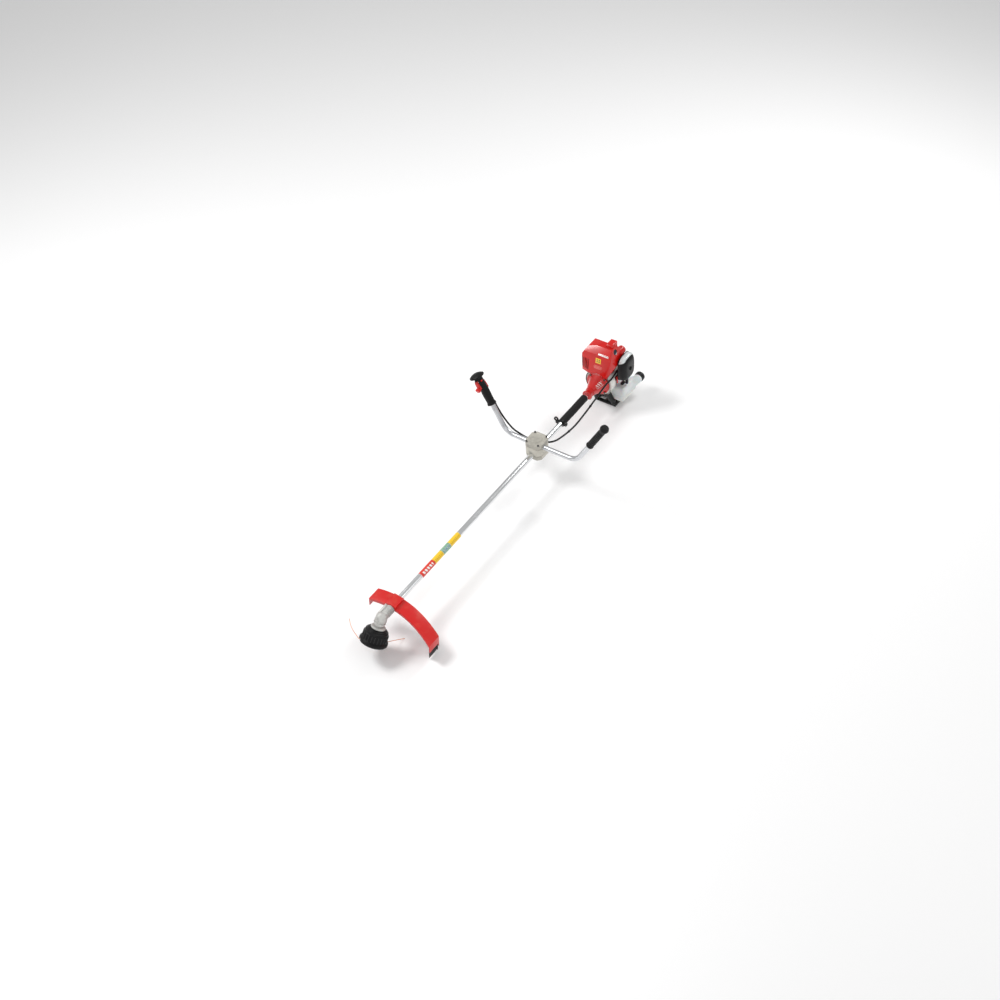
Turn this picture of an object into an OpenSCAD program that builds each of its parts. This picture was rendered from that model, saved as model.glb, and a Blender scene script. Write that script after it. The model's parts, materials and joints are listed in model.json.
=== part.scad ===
// Petrol string trimmer with a bullhorn handlebar.
// +X runs along the shaft to the cutting head, +Y is the operator's left, +Z is up.
// The origin is the centre of the engine stand's base; the shaft axis lies above it, parallel to X.

/* [Shaft] */
// Height of the shaft axis above the ground
shaft_h = 160; // [156:1:180]
// Length of the main tube
tube_len = 1495; // [1200:5:1800]
// Outer diameter of the main tube
tube_d = 26; // [24:0.5:30]
// Wall of the main tube
tube_wall = 1.5; // [1:0.1:3]
// Diameter of the drive shaft
drive_d = 8; // [6:0.5:10]
// Outer diameter of the foam sleeve
sleeve_d = 34; // [31:0.5:44]
// Length of the foam sleeve
sleeve_len = 182; // [100:1:240]
// Distance from the rear end of the tube to the harness hanger
hanger_at = 250; // [236:1:300]
// Distance from the rear end of the tube to the handlebar
bar_at = 450; // [380:1:600]

/* [Handlebar] */
// Outer diameter of the handlebar tube
bar_d = 22; // [20:0.5:25]
// Height of the handlebar above the shaft axis
bar_rise = 38; // [35:1:50]
// Distance from the shaft to the right bend
bar_right = 146; // [135:1:200]
// Distance from the shaft to the left bend
bar_left = 200; // [135:1:240]
// Radius of the two bends
bend_r = 68; // [50:1:90]
// Angle of the arms away from upright
arm_flare = 30; // [20:1:40]
// Lean of the handlebar towards the engine
bar_lean = 3; // [0:0.5:10]
// Length of the right arm from its corner
right_arm = 262; // [256:1:320]
// Length of the left arm from its corner
left_arm = 272; // [240:1:320]
// Length of the left rubber grip
grip_len = 146; // [110:1:160]

/* [Cutting head] */
// Angle of the head axis below the shaft axis
head_tilt = 57; // [50:1:65]
// Turn of the gear case about the shaft
head_roll = -6; // [-10:1:10]
// Radius of the brim of the head
head_r = 57; // [52:1:70]
// Distance along the head axis from the gear centre to the adapter dish
dish_k = 32; // [30:1:40]
// Height of the head from the adapter dish to its lower rim
head_h = 72; // [64:1:90]
// Travel of the bump knob
bump_travel = 6; // [3:0.5:8]
// Diameter of the cutting line
line_d = 2.4; // [2:0.1:3.3]

/* [Guard] */
// Reach of the guard to the left of the shaft
guard_left = 205; // [180:1:240]
// Reach of the guard to the right of the shaft
guard_right = 100; // [80:1:130]
// Depth of the guard's deck along the shaft
guard_depth = 58; // [45:1:80]
// Height of the guard's rear wall
guard_drop = 60; // [45:1:62]
// Height of the skirt that shows under the guard
skirt_h = 30; // [20:1:32]

/* [Engine] */
// Length of the clutch housing cone
cone_len = 98; // [88:1:130]
// Outer radius of the fan housing
fan_r = 66; // [62:1:75]
// Width of the fan housing along the crank
fan_w = 38; // [32:1:50]
// Length of the crankcase along the crank
case_len = 62; // [56:1:80]
// Bore of the cylinder
bore_d = 40; // [36:0.5:44]
// Width of the cylinder fins
fin_w = 84; // [70:1:90]
// Height of the top cover above the shaft axis
cover_h = 180; // [170:1:200]
// Thickness of the moulded walls
shell = 2.5; // [2:0.1:3]
// Length of the fuel tank
tank_len = 128; // [110:1:150]
// Width of the fuel tank
tank_w = 164; // [140:1:180]
// Radius of the fuel cap
cap_r = 21; // [18:0.5:25]
// Width of the stand across the feet
stand_w = 108; // [90:1:150]

/* [Hidden] */
$fn = 64;

run_gap = 0.5;      // between pieces that turn or slide past each other
pin_gap = 0.1;      // radial clearance of a running fit
cut = 1;            // overshoot of a cut past the face it leaves
tube_r = tube_d / 2;
bar_r = bar_d / 2;

// stations along the shaft, from the stand's centre
case_front = 22;
fan_front = case_front + fan_w;
cone_flange = 6;
cone_front = fan_front + cone_len;
tube_seat = 44;
tube_x0 = cone_front - tube_seat;
tube_x1 = tube_x0 + tube_len;
hanger_x = tube_x0 + hanger_at;
bar_x = tube_x0 + bar_at;
bar_z = shaft_h + bar_rise;
case_back = case_front - case_len;
cyl_x = case_front - case_len / 2;
gear_x = tube_x1 + 28;

// screws: one size everywhere
screw_d = 5;
head_d = 8.5;
head_l = 5;

// a piece laid along the shaft axis: local +Z becomes +X
module at_shaft(x) translate([x, 0, shaft_h]) rotate([0, 90, 0]) children();
module rod_x(x0, x1, r) at_shaft(x0) cylinder(h = x1 - x0, r = r);
module ring_x(x0, x1, r_out, r_in)
    difference() { rod_x(x0, x1, r_out); rod_x(x0 - cut, x1 + cut, r_in); }

// socket screw with its head's underside at the origin, shank along -Z
module screw(length = 16) {
    difference() {
        cylinder(h = head_l, d = head_d, $fn = 32);
        translate([0, 0, head_l - 2.5]) cylinder(h = 3, d = 4.6, $fn = 6);
    }
    translate([0, 0, -length]) cylinder(h = length + 0.5, d = screw_d, $fn = 24);
}
module hole(length = 16) {
    translate([0, 0, -length - 0.5]) cylinder(h = length + 1, d = screw_d, $fn = 24);
    cylinder(h = 30, d = head_d + 1, $fn = 32);
}

// ---- shaft ----
module main_tube() color("silver") ring_x(tube_x0, tube_x1, tube_r, tube_r - tube_wall);

bushes = 5;
module shaft_bushes() color("dimgray")
    for (i = [0 : bushes - 1]) {
        x = tube_x0 + tube_len * (i + 0.5) / bushes;
        ring_x(x - 10, x + 10, tube_r - tube_wall, drive_d / 2 + pin_gap);
    }

drum_back = fan_front + 12;
drive_end = gear_x - 11;
module drive_shaft() color("gray") rod_x(drum_back + 8, drive_end, drive_d / 2);

module foam_sleeve() color("#1c1c1c")
    ring_x(hanger_x - hanger_w / 2 - sleeve_len, hanger_x - hanger_w / 2, sleeve_d / 2, tube_r);

hanger_w = 14;
eye_d = 12;
eye_y = 27;
module hanger_band() translate([hanger_x, 0, shaft_h]) {
    rotate([0, 90, 0]) cylinder(h = hanger_w, r = tube_r + 4, center = true);
    for (s = [-1, 1]) translate([0, s * (tube_r + 6), 0]) cube([hanger_w, 15, 12], center = true);
}
module hanger() color("#222222") difference() {
    union() {
        hanger_band();
        translate([hanger_x, -eye_y, shaft_h + 12]) rotate([0, 90, 0])
            cylinder(h = hanger_w / 2, d = eye_d + 8, center = true);
        translate([hanger_x, -tube_r - 10, shaft_h + 4]) cube([hanger_w / 2, 14, 12], center = true);
    }
    rod_x(hanger_x - hanger_w, hanger_x + hanger_w, tube_r);
    translate([hanger_x, -eye_y, shaft_h + 12]) rotate([0, 90, 0])
        cylinder(h = 40, d = eye_d, center = true);
    translate([hanger_x, tube_r + 8, shaft_h + 6]) hole(14);
}

// ---- gear case and cutting head ----
// frame at the gear centre, turned about the shaft with the gear case
module at_gear() translate([gear_x, 0, shaft_h]) rotate([head_roll, 0, 0]) children();
// frame on the head axis: local +Z runs down the head axis, local X points back to the operator
module on_head(k = 0) at_gear() rotate([0, 90 + head_tilt, 0]) translate([0, 0, k]) children();

case_r = tube_r + 5;
socket_len = 38;
collar_r = 21;
collar_k = dish_k - 8;
bearing_r = 12;
gear_r = 16;
pinion_r = 12;
gear_k = 2.2;
gear_w = 5;
shaft_r = 5;
socket_back = tube_x1 - gear_x - socket_len + 6;
pinion_x = -16;
pinion_w = 5;
module gear_case() color("#b9b7b0") difference() {
    union() {
        at_gear() translate([socket_back, 0, 0]) rotate([0, 90, 0]) cylinder(h = -socket_back, r = case_r);
        on_head() rotate_extrude() polygon([[0, -25], [11, -25], [19, -19], [23, -9], [23, 5],
            [collar_r, 11],
            [collar_r, collar_k], [0, collar_k]]);
        at_gear() translate([socket_back + 12, -7, -case_r - 4]) cube([26, 14, 8]);
    }
    at_gear() translate([socket_back - cut, 0, 0]) rotate([0, 90, 0])
        cylinder(h = tube_x1 - gear_x - socket_back + cut, r = tube_r);
    at_gear() translate([tube_x1 - gear_x - cut, 0, 0]) rotate([0, 90, 0])
        cylinder(h = 10, r = bearing_r - 2);
    at_gear() translate([pinion_x - 4, 0, 0]) rotate([0, 90, 0])
        cylinder(h = pinion_w + 10, r = pinion_r + 1.2);
    on_head(-3) cylinder(h = collar_k + 3 + cut, r = bearing_r);
    on_head() cylinder(h = gear_k + gear_w + 1.5, r = gear_r + 1.5);
    at_gear() translate([socket_back + 25, 0, -case_r - 4]) rotate([180, 0, 0]) hole(8);
}

module bearing(r_out, r_in, w) difference() {
    cylinder(h = w, r = r_out);
    translate([0, 0, -cut]) cylinder(h = w + 2 * cut, r = r_in);
}
module gear_bearings() color("gray") {
    for (k = [gear_k + gear_w + 1.5, collar_k - 6]) on_head(k) bearing(bearing_r, shaft_r + pin_gap, 5);
    at_gear() translate([tube_x1 - gear_x - 0.5, 0, 0]) rotate([0, 90, 0])
        bearing(bearing_r - 2, drive_d / 2 + pin_gap, 6);
}

pinion_teeth = 12;
gear_teeth = 16;
tooth = 2.2;
module teeth(n, r, h, phase = 0) for (i = [0 : n - 1]) rotate([0, 0, 360 * (i + phase) / n])
    translate([r - 3.3, -tooth / 2, 0]) cube([3.3, tooth, h]);
module drive_pinion() color("dimgray") at_gear() translate([pinion_x, 0, 0]) rotate([0, 90, 0])
    difference() {
    union() { cylinder(h = pinion_w, r = pinion_r - 3); teeth(pinion_teeth, pinion_r, pinion_w); }
    translate([0, 0, -cut]) cylinder(h = pinion_w + 2 * cut, r = drive_d / 2);
}
spindle_end = dish_k + 26;
module output_gear() color("gray") {
    on_head(-2) cylinder(h = spindle_end + 2, r = shaft_r);
    on_head(gear_k) {
        cylinder(h = gear_w, r = gear_r - 3);
        teeth(gear_teeth, gear_r, gear_w, 0.5);
    }
}
dish_r = 29.5;
module head_adapter() color("#c4c2bb") on_head(dish_k) difference() {
    union() {
        cylinder(h = 3, r1 = collar_r + 1, r2 = dish_r);
        translate([0, 0, 3]) cylinder(h = 5, r = dish_r);
    }
    translate([0, 0, -cut]) cylinder(h = 20, r = shaft_r);
}

bell_top = dish_k + 8;
rim_k = dish_k + head_h;
bell_h = rim_k - bell_top;
brim_h = 15;
bell_r = head_r - 8;
head_wall = 3;
module head_housing() color("#191919") on_head(bell_top) difference() {
    rotate_extrude() polygon([[0, 0], [dish_r + 4, 0], [bell_r - 4, 9], [bell_r, 20],
        [bell_r + 1, bell_h - brim_h],
        [head_r, bell_h - brim_h + 4], [head_r, bell_h - 3], [head_r - 3, bell_h], [0, bell_h]]);
    translate([0, 0, head_wall + 2]) rotate_extrude() polygon([[0, 0], [dish_r, 0], [bell_r - 8, 7],
        [bell_r - head_wall, 17], [bell_r - head_wall, bell_h], [0, bell_h]]);
    translate([0, 0, -cut]) cylinder(h = 10, r = shaft_r);
    for (s = [0, 180]) rotate([0, 0, line_turn + s]) translate([0, 0, line_h])
        rotate([0, 90, 0]) cylinder(h = head_r + cut, d = line_d + 5, $fn = 24);
}
line_turn = 218;
line_h = bell_h - brim_h + 7;
spool_r = bell_r - head_wall - 2;
hub_r = 13;
spring_r = 9;
spool_end = line_h + 6;
module line_spool() color("#2b2b2b") on_head(bell_top) difference() {
    union() {
        translate([0, 0, head_wall + 2]) cylinder(h = spool_end - head_wall - 2, r = hub_r);
        translate([0, 0, 18]) cylinder(h = 2.5, r = spool_r - 4);
        translate([0, 0, 20.5]) cylinder(h = spool_end - 23, r = spool_r - 9);
        translate([0, 0, spool_end - 2.5]) cylinder(h = 2.5, r = spool_r);
    }
    translate([0, 0, head_wall]) cylinder(h = bell_h, r = spring_r + run_gap);
}
knob_r = 27;
knob_top = spool_end + bump_travel + run_gap;
knob_h = 10;
plunger_top = spindle_end - bell_top + 7 + bump_travel;
module bump_knob() color("#141414") on_head(bell_top) {
    translate([0, 0, knob_top]) difference() {
        union() {
            cylinder(h = knob_h - 4, r = knob_r);
            translate([0, 0, knob_h - 4]) cylinder(h = 4, r1 = knob_r, r2 = knob_r - 6);
        }
        translate([0, 0, 3]) cylinder(h = knob_h, r = knob_r - 9);
    }
    translate([0, 0, plunger_top]) cylinder(h = knob_top + cut - plunger_top, r = spring_r);
}
module bump_spring() color("silver") on_head(spindle_end) difference() {
    cylinder(h = 6, r = spring_r);
    translate([0, 0, -cut]) cylinder(h = 10, r = spring_r - 4.5);
}

// a tube swept along given points: one ring per point, square to the path
function unit(v) = v / norm(v);
function tangent(p, i) = unit(p[min(i + 1, len(p) - 1)] - p[max(i - 1, 0)]);
function side(t) = unit(cross(t, abs(t[2]) > 0.9 ? [1, 0, 0] : [0, 0, 1]));
function ring_at(p, i, r, n) = let (t = tangent(p, i), a = side(t), b = cross(t, a))
    [for (j = [0 : n - 1]) p[i] + r * (cos(360 * j / n) * a + sin(360 * j / n) * b)];
module swept_tube(p, d, n = 8) {
    pts = [for (i = [0 : len(p) - 1]) each ring_at(p, i, d / 2, n)];
    last = (len(p) - 1) * n;
    polyhedron(pts, concat([[for (j = [0 : n - 1]) n - 1 - j]], [[for (j = [0 : n - 1]) last + j]],
        [for (i = [0 : len(p) - 2], j = [0 : n - 1])
            [i * n + j, i * n + (j + 1) % n, (i + 1) * n + (j + 1) % n, (i + 1) * n + j]]));
}
// smooth points between the chosen ones
function catmull(a, b, c, d, t) = 0.5 * (2 * b + (c - a) * t + (2 * a - 5 * b + 4 * c - d) * t * t
    + (3 * b - a - 3 * c + d) * t * t * t);
function smooth(p, m) = concat([for (i = [0 : len(p) - 2], j = [0 : m - 1])
    catmull(p[max(i - 1, 0)], p[i], p[i + 1], p[min(i + 2, len(p) - 1)], j / m)], [p[len(p) - 1]]);

// two line ends on the head's own frame, from the eyelets outward
LINE_A = [[-33, -27, 0], [-45, -37, 0], [-36, -58, -1], [-22, -82, -2], [-4, -106, -3], [18, -128, -4],
    [42, -148, -4]];
LINE_B = [[33, 27, 0], [45, 37, 0], [62, 38, 1], [82, 41, 2], [101, 45, 2], [121, 51, 1], [140, 58, 0]];
module cutting_line() color("#d98b5f") on_head(bell_top + line_h) {
    swept_tube(smooth(LINE_A, 3), line_d);
    swept_tube(smooth(LINE_B, 3), line_d);
}

// ---- guard ----
// an arch across the shaft whose plan curves forward at its ends: deck, rear wall, front lip and end walls
guard_x = -119;         // rear of the deck at the shaft, from the gear centre
guard_wall = 3;
arch_r = 400;
arch_top = 8;
plan_r = 700;
lip_h = 14;
end_h = 42;
saddle_w = 44;
saddle_top = tube_r + 7;
strap_len = 34;
// everything between the crest lowered by d0 and the crest lowered by d1
module under_crest(d0, d1) translate([guard_x - 20, 0, arch_top - arch_r]) rotate([90, 0, 90])
    linear_extrude(guard_depth + 120) difference() {
        translate([0, -d0]) circle(arch_r, $fn = 240);
        translate([0, -d1]) circle(arch_r, $fn = 240);
    }
// everything between two depths forward of the guard's rear face, inside the guard's reach
module in_plan(a, b, y0 = -guard_right, y1 = guard_left) intersection() {
    translate([guard_x + plan_r, 0, -300]) linear_extrude(400) difference() {
        circle(plan_r - a, $fn = 360);
        circle(plan_r - b, $fn = 360);
    }
    translate([guard_x - 20, y0, -300]) cube([guard_depth + 110, y1 - y0, 400]);
}
module guard_shell() {
    intersection() { under_crest(0, guard_wall); in_plan(0, guard_depth); }
    intersection() { under_crest(0, guard_drop); in_plan(0, guard_wall); }
    intersection() { under_crest(0, lip_h); in_plan(guard_depth - guard_wall, guard_depth); }
    intersection() { under_crest(0, end_h); in_plan(0, guard_depth, guard_left - guard_wall, guard_left); }
    intersection() { under_crest(0, end_h); in_plan(0, guard_depth, -guard_right, guard_wall - guard_right); }
}
module guard() color("#d61414") at_gear() difference() {
    union() {
        guard_shell();
        translate([guard_x + 4, -saddle_w / 2, 0]) cube([guard_depth - 4, saddle_w, saddle_top]);
    }
    translate([guard_x - 40, 0, 0]) rotate([0, 90, 0]) cylinder(h = guard_depth + 90, r = tube_r);
    for (s = [-1, 1]) translate([guard_x + strap_at, s * strap_y, 0]) rotate([180, 0, 0]) hole(10);
    translate([guard_x + strap_at - strap_len / 2 - run_gap, -saddle_w / 2, -tube_r - 7])
        cube([strap_len + 2 * run_gap, saddle_w, tube_r + 7]);
}
strap_at = 34;
strap_y = tube_r + 4;
module guard_clamp() color("#8d1010") at_gear() difference() {
    translate([guard_x + strap_at - strap_len / 2, -saddle_w / 2 + run_gap, -tube_r - 5])
        cube([strap_len, saddle_w - 2 * run_gap, tube_r + 5]);
    translate([guard_x - 40, 0, 0]) rotate([0, 90, 0]) cylinder(h = guard_depth + 90, r = tube_r);
    for (s = [-1, 1]) translate([guard_x + strap_at, s * strap_y, -tube_r - 5]) rotate([180, 0, 0])
        hole(tube_r + 6);
}
skirt_wall = 2.5;
skirt_lap = 10;
cutter_y = guard_left - guard_wall - skirt_wall - 6;
module guard_skirt() color("#161616") at_gear() difference() {
    union() {
        intersection() {
            under_crest(guard_drop - skirt_lap, guard_drop + skirt_h);
            in_plan(guard_wall, guard_wall + skirt_wall, guard_wall - guard_right, guard_left - guard_wall);
        }
        intersection() {
            under_crest(end_h - skirt_lap, guard_drop + skirt_h);
            in_plan(guard_wall, guard_depth - guard_wall - 1, cutter_y + 3, cutter_y + 3 + skirt_wall);
        }
    }
    translate([guard_x + 50, guard_left - 40, -guard_drop - skirt_h - 62]) rotate([0, 45, 0])
        cube([18, 60, 18]);
}
module line_cutter() color("silver") at_gear() difference() {
    intersection() {
        under_crest(guard_drop - 4, guard_drop + skirt_h - 3);
        in_plan(14, 34, cutter_y + 1.2, cutter_y + 3);
    }
    translate([guard_x + 30, cutter_y - 20, -guard_drop - 62]) rotate([-90, 0, 0])
        cylinder(h = 40, d = 4, $fn = 24);
}

// ---- handlebar ----
// frame in the bar's leaning plane, at the shaft
module bar_plane() translate([bar_x, 0, bar_z]) rotate([0, -bar_lean, 0]) children();
// frames along each arm from its corner: local +Z runs up the arm, local +X forward
module on_right_arm(d = 0) bar_plane() translate([0, -bar_right, 0]) rotate([arm_flare, 0, 0])
    translate([0, 0, d]) children();
module on_left_arm(d = 0) bar_plane() translate([0, bar_left, 0]) rotate([-arm_flare, 0, 0])
    translate([0, 0, d]) children();
bend_t = bend_r * tan((90 - arm_flare) / 2);
module annulus(r, r_in) difference() { circle(r, $fn = 48); if (r_in > 0) circle(r_in, $fn = 48); }
module bar_run(r, r_in, h) linear_extrude(h) annulus(r, r_in);
bend_thin = 0.05;        // how much each wall face of a bend lies inside the straight runs it enters
bend_lap = 1;
module bar_bend(y, from, r, r_in) bar_plane() translate([0, y, bend_r]) rotate([90, 0, 90])
    rotate([0, 0, from])
    rotate_extrude(angle = 90 - arm_flare) translate([bend_r, 0])
        annulus(r - bend_thin, r_in > 0 ? r_in + bend_thin : 0);
module bar_path(r, r_in = 0) {
    run_t = bend_t - bend_lap;
    bar_plane() translate([0, -bar_right + run_t, 0]) rotate([-90, 0, 0])
        bar_run(r, r_in, bar_right + bar_left - 2 * run_t);
    bar_bend(-bar_right + bend_t, 180 + arm_flare, r, r_in);
    bar_bend(bar_left - bend_t, 270, r, r_in);
    on_right_arm(run_t) bar_run(r, r_in, right_arm - run_t);
    on_left_arm(run_t) bar_run(r, r_in, left_arm - run_t);
}
bar_wall = 1.8;
module handlebar() color("#b5b8bb") bar_path(bar_r, bar_r - bar_wall);

clamp_len = 84;
clamp_w = 80;
clamp_x = bar_x - 8;
clamp_split = 1;
bolt_x = [-clamp_len / 2 + 9, clamp_len / 2 - 9];
bolt_y = clamp_w / 2 - 11;
cap_top = bar_z + bar_r + 9;
module clamp_block(z0, z1) translate([clamp_x, 0, z0]) intersection() {
    translate([-clamp_len / 2, -clamp_w / 2, 0]) cube([clamp_len, clamp_w, z1 - z0]);
    rotate([0, 0, 45]) translate([0, 0, (z1 - z0) / 2]) cube([94, 94, 2 * (z1 - z0)], center = true);
}
module clamp_cuts() {
    rod_x(bar_x - 100, bar_x + 100, tube_r);
    bar_path(bar_r);
    cable_channel();
    for (x = bolt_x, y = [-bolt_y, bolt_y]) translate([clamp_x + x, y, cap_top]) hole(60);
}
module clamp_base() color("#a9a59b") difference() {
    clamp_block(shaft_h - tube_r - 7, shaft_h - clamp_split);
    clamp_cuts();
}
module clamp_body() color("#b3afa5") difference() {
    clamp_block(shaft_h + clamp_split, bar_z - clamp_split);
    clamp_cuts();
}
module clamp_cap() color("#b8b4aa") difference() {
    union() {
        clamp_block(bar_z + clamp_split, cap_top);
        translate([clamp_x, 0, cap_top]) cylinder(h = 5, r1 = 26, r2 = 20);
    }
    clamp_cuts();
}

grip_wall = 3;
grip_r = bar_r + grip_wall;
module left_grip() color("#1b1b1b") on_left_arm(left_arm - grip_len + grip_wall) difference() {
    union() {
        cylinder(h = grip_len, r = grip_r);
        cylinder(h = 5, r = grip_r + 2.5);
        translate([0, 0, grip_len - 26]) cylinder(h = 14, r1 = grip_r, r2 = grip_r + 5);
        translate([0, 0, grip_len - 12]) cylinder(h = 12, r = grip_r + 5);
        for (i = [0 : 7]) translate([0, 0, 14 + 13 * i]) cylinder(h = 5, r = grip_r + 1);
    }
    translate([0, 0, -cut]) cylinder(h = grip_len - grip_wall + cut, r = bar_r);
}

// ---- throttle grip: two shells, split along the plane that holds the arm ----
handle_len = 128;
handle_at = right_arm - handle_len + 12;
handle_r = bar_r + 6;
trig_z = handle_len - 26;      // trigger pivot, up the grip
trig_x = 20;
lever_x = -(bar_r + 5);
module handle_blank() {
    rotate([0, 0, 45]) {
        cylinder(h = handle_len - 30, r = handle_r);
        translate([0, 0, -4]) cylinder(h = 12, r1 = handle_r + 2, r2 = handle_r - 0.1);
    }
    translate([lever_x - 2, -13, handle_len - 42]) cube([28 - lever_x, 26, 42]);
    translate([18, 0, handle_len - 42]) rotate([0, 35, 0]) translate([-14, -12, -8]) cube([22, 24, 16]);
}
pin_r = 2;
module grip_pins() for (p = [[trig_x, trig_z + 12], [lever_x, trig_z + 2]])
    translate([p[0], 0, p[1]]) rotate([90, 0, 0]) cylinder(h = 20, r = pin_r, center = true, $fn = 32);
module handle_room() {
    rotate([0, 0, 45]) translate([0, 0, -10]) cylinder(h = right_arm - handle_at + 10, r = bar_r);
    translate([10, -9, handle_len - 56]) cube([40, 18, 48]);           // trigger well
    translate([-40, -6, handle_len - 62]) cube([30, 12, 48]);          // lever well
    translate([-2, 8, handle_len - 20]) cube([16, 10, 8]);             // switch slot
    grip_pins();
}
module grip_half(s) on_right_arm(handle_at) difference() {
    intersection() {
        handle_blank();
        translate([-60, s > 0 ? 0 : -60, -20]) cube([120, 60, handle_len + 40]);
    }
    handle_room();
}
module grip_shell_front() color("#191919") grip_half(1);
module grip_shell_rear() color("#1c1c1c") grip_half(-1);

stop_r = 33;
module hand_stop() color("#151515") on_right_arm(handle_at + handle_len) {
    translate([4, 0, 0]) cylinder(h = 6, r1 = 20, r2 = stop_r);
    translate([4, 0, 6]) cylinder(h = 12, r1 = stop_r, r2 = 15);
}
module handle_pins() color("silver") on_right_arm(handle_at) grip_pins();
module throttle_trigger() color("#d01818") on_right_arm(handle_at) difference() {
    union() {
        translate([trig_x, 0, trig_z + 12]) rotate([90, 0, 0]) cylinder(h = 16, r = 5, center = true);
        translate([trig_x - 3, -8, trig_z - 22]) cube([10, 16, 34]);
        translate([trig_x + 5, -8, trig_z - 24]) rotate([0, 25, 0]) cube([12, 16, 16]);
    }
    translate([trig_x, 0, trig_z + 12]) rotate([90, 0, 0])
        cylinder(h = 30, r = pin_r + pin_gap, center = true, $fn = 32);
}
module lockout_lever() color("#c91616") on_right_arm(handle_at) difference() {
    union() {
        translate([lever_x, 0, trig_z + 2]) rotate([90, 0, 0]) cylinder(h = 11, r = 4.5, center = true);
        translate([lever_x - 9, -5.5, trig_z - 34]) rotate([0, 6, 0]) cube([7, 11, 38]);
    }
    translate([lever_x, 0, trig_z + 2]) rotate([90, 0, 0])
        cylinder(h = 30, r = pin_r + pin_gap, center = true, $fn = 32);
}
module stop_switch() color("#c21515") on_right_arm(handle_at)
    translate([0, bar_r + run_gap, handle_len - 19]) cube([9, 4, 6]);

// ---- throttle cable ----
// sleeved cable, held by the grip, the clamp's channel and the carburettor
cable_d = 8;
CABLE = [[541, -216, 318], [541, -206, 301], [542, -182, 264], [544, -152, 232], [548, -122, 214],
    [547, -92, 202],
    [541, -62, 188], [534, -34, 181], [528, -8, 180], [520, 14, 180], [506, 34, 178], [481, 48, 174],
    [445, 54, 169], [395, 57, 162], [340, 58, 158], [265, 56, 162], [205, 54, 168], [155, 52, 174],
    [115, 52, 182], [81, 56, 194], [60, 63, 203], [43, 66, 210], [20, 66, 217], [6, 66, 219]];
module throttle_cable() color("#151515") swept_tube(smooth(CABLE, 3), cable_d, 10);
// a straight cut between two points
module bore_between(a, b, r) let (v = b - a, n = norm(v)) translate(a)
    rotate([0, acos(v[2] / n), atan2(v[1], v[0])]) translate([0, 0, -3])
        cylinder(h = n + 6, r = r, $fn = 32);
module cable_channel() {
    bore_between(CABLE[6], CABLE[7], cable_d / 2 + 3.5);
    bore_between(CABLE[7], CABLE[9], cable_d / 2 + 3.5);
    bore_between(CABLE[9], CABLE[11], cable_d / 2 + 3.5);
}

// ---- engine ----
housing_wall = 5;
neck_r = tube_r + 9;
neck_len = 28;
cone_r = 46;
flange_r = cone_r + 10;
module clutch_housing() color("#d3170f") difference() {
    union() {
        rod_x(cone_front - neck_len, cone_front - 4, neck_r - 3);
        rod_x(cone_front - 5, cone_front, neck_r);
        rod_x(cone_front - neck_len - 2, cone_front - neck_len + 3, neck_r);
        at_shaft(fan_front + cone_flange - 1)
            cylinder(h = cone_len - neck_len - cone_flange + 1, r1 = cone_r, r2 = neck_r - 2);
        rod_x(fan_front, fan_front + cone_flange, flange_r);
        translate([cone_front - 18, 0, shaft_h - neck_r - 1]) cube([16, 22, 12], center = true);
    }
    rod_x(tube_x0, cone_front + cut, tube_r);
    at_shaft(fan_front - cut) cylinder(h = 46, r1 = cone_r - housing_wall, r2 = 26);
    rod_x(fan_front + 40, tube_x0 + cut, drive_d / 2 + 3);
    translate([cone_front - 18, 0, shaft_h - 40]) cube([3, 60, 30], center = true);
    for (a = [45 : 90 : 315]) at_shaft(fan_front) rotate([0, 0, a]) translate([flange_r - 5, 0, -cut])
        cylinder(h = cone_flange + 2 * cut, d = screw_d, $fn = 24);
}
drum_r = 29;
drum_x = fan_front + 6;
drum_w = 20;
module clutch_drum() color("gray") difference() {
    rod_x(drum_x, drum_x + drum_w, drum_r);
    rod_x(drum_x - cut, drum_x + drum_w - 3, drum_r - 2.5);
    rod_x(drum_x, drum_x + drum_w + cut, drive_d / 2);
}
shoe_r = drum_r - 2.5 - run_gap;
module clutch_shoes() color("#6b5a48") for (a = [0, 180]) difference() {
    at_shaft(drum_x + 1) rotate([0, 0, a]) intersection() {
        difference() { cylinder(h = 13, r = shoe_r); translate([0, 0, -cut]) cylinder(h = 20, r = 12); }
        translate([2, -40, -cut]) cube([40, 80, 20]);
    }
    at_shaft(drum_x - 5) rotate([0, 0, a]) translate([18, 0, 0]) cylinder(h = 40, r = 3, $fn = 24);
}
fan_wall = 3;
module fan_housing() color("#c9cac6") difference() {
    union() {
        rod_x(case_front, fan_front, fan_r);
        for (a = [45 : 90 : 315]) at_shaft(case_front) rotate([0, 0, a]) translate([fan_r - 4, 0, 0])
            cylinder(h = fan_w, r = 7, $fn = 32);
    }
    rod_x(case_front + fan_wall, fan_front - fan_wall, fan_r - fan_wall);
    rod_x(case_front - cut, fan_front, 16);
    rod_x(fan_front - 10, fan_front + cut, cone_r - housing_wall);
    translate([case_front + fan_wall, -22, shaft_h + fan_r - 14]) cube([fan_w - 2 * fan_wall, 44, 30]);
    for (a = [45 : 90 : 315]) at_shaft(fan_front) rotate([0, 0, a]) translate([flange_r - 5, 0, -10])
        cylinder(h = 20, d = screw_d, $fn = 24);
}
wheel_r = fan_r - fan_wall - 3;
vanes = 14;
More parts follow.
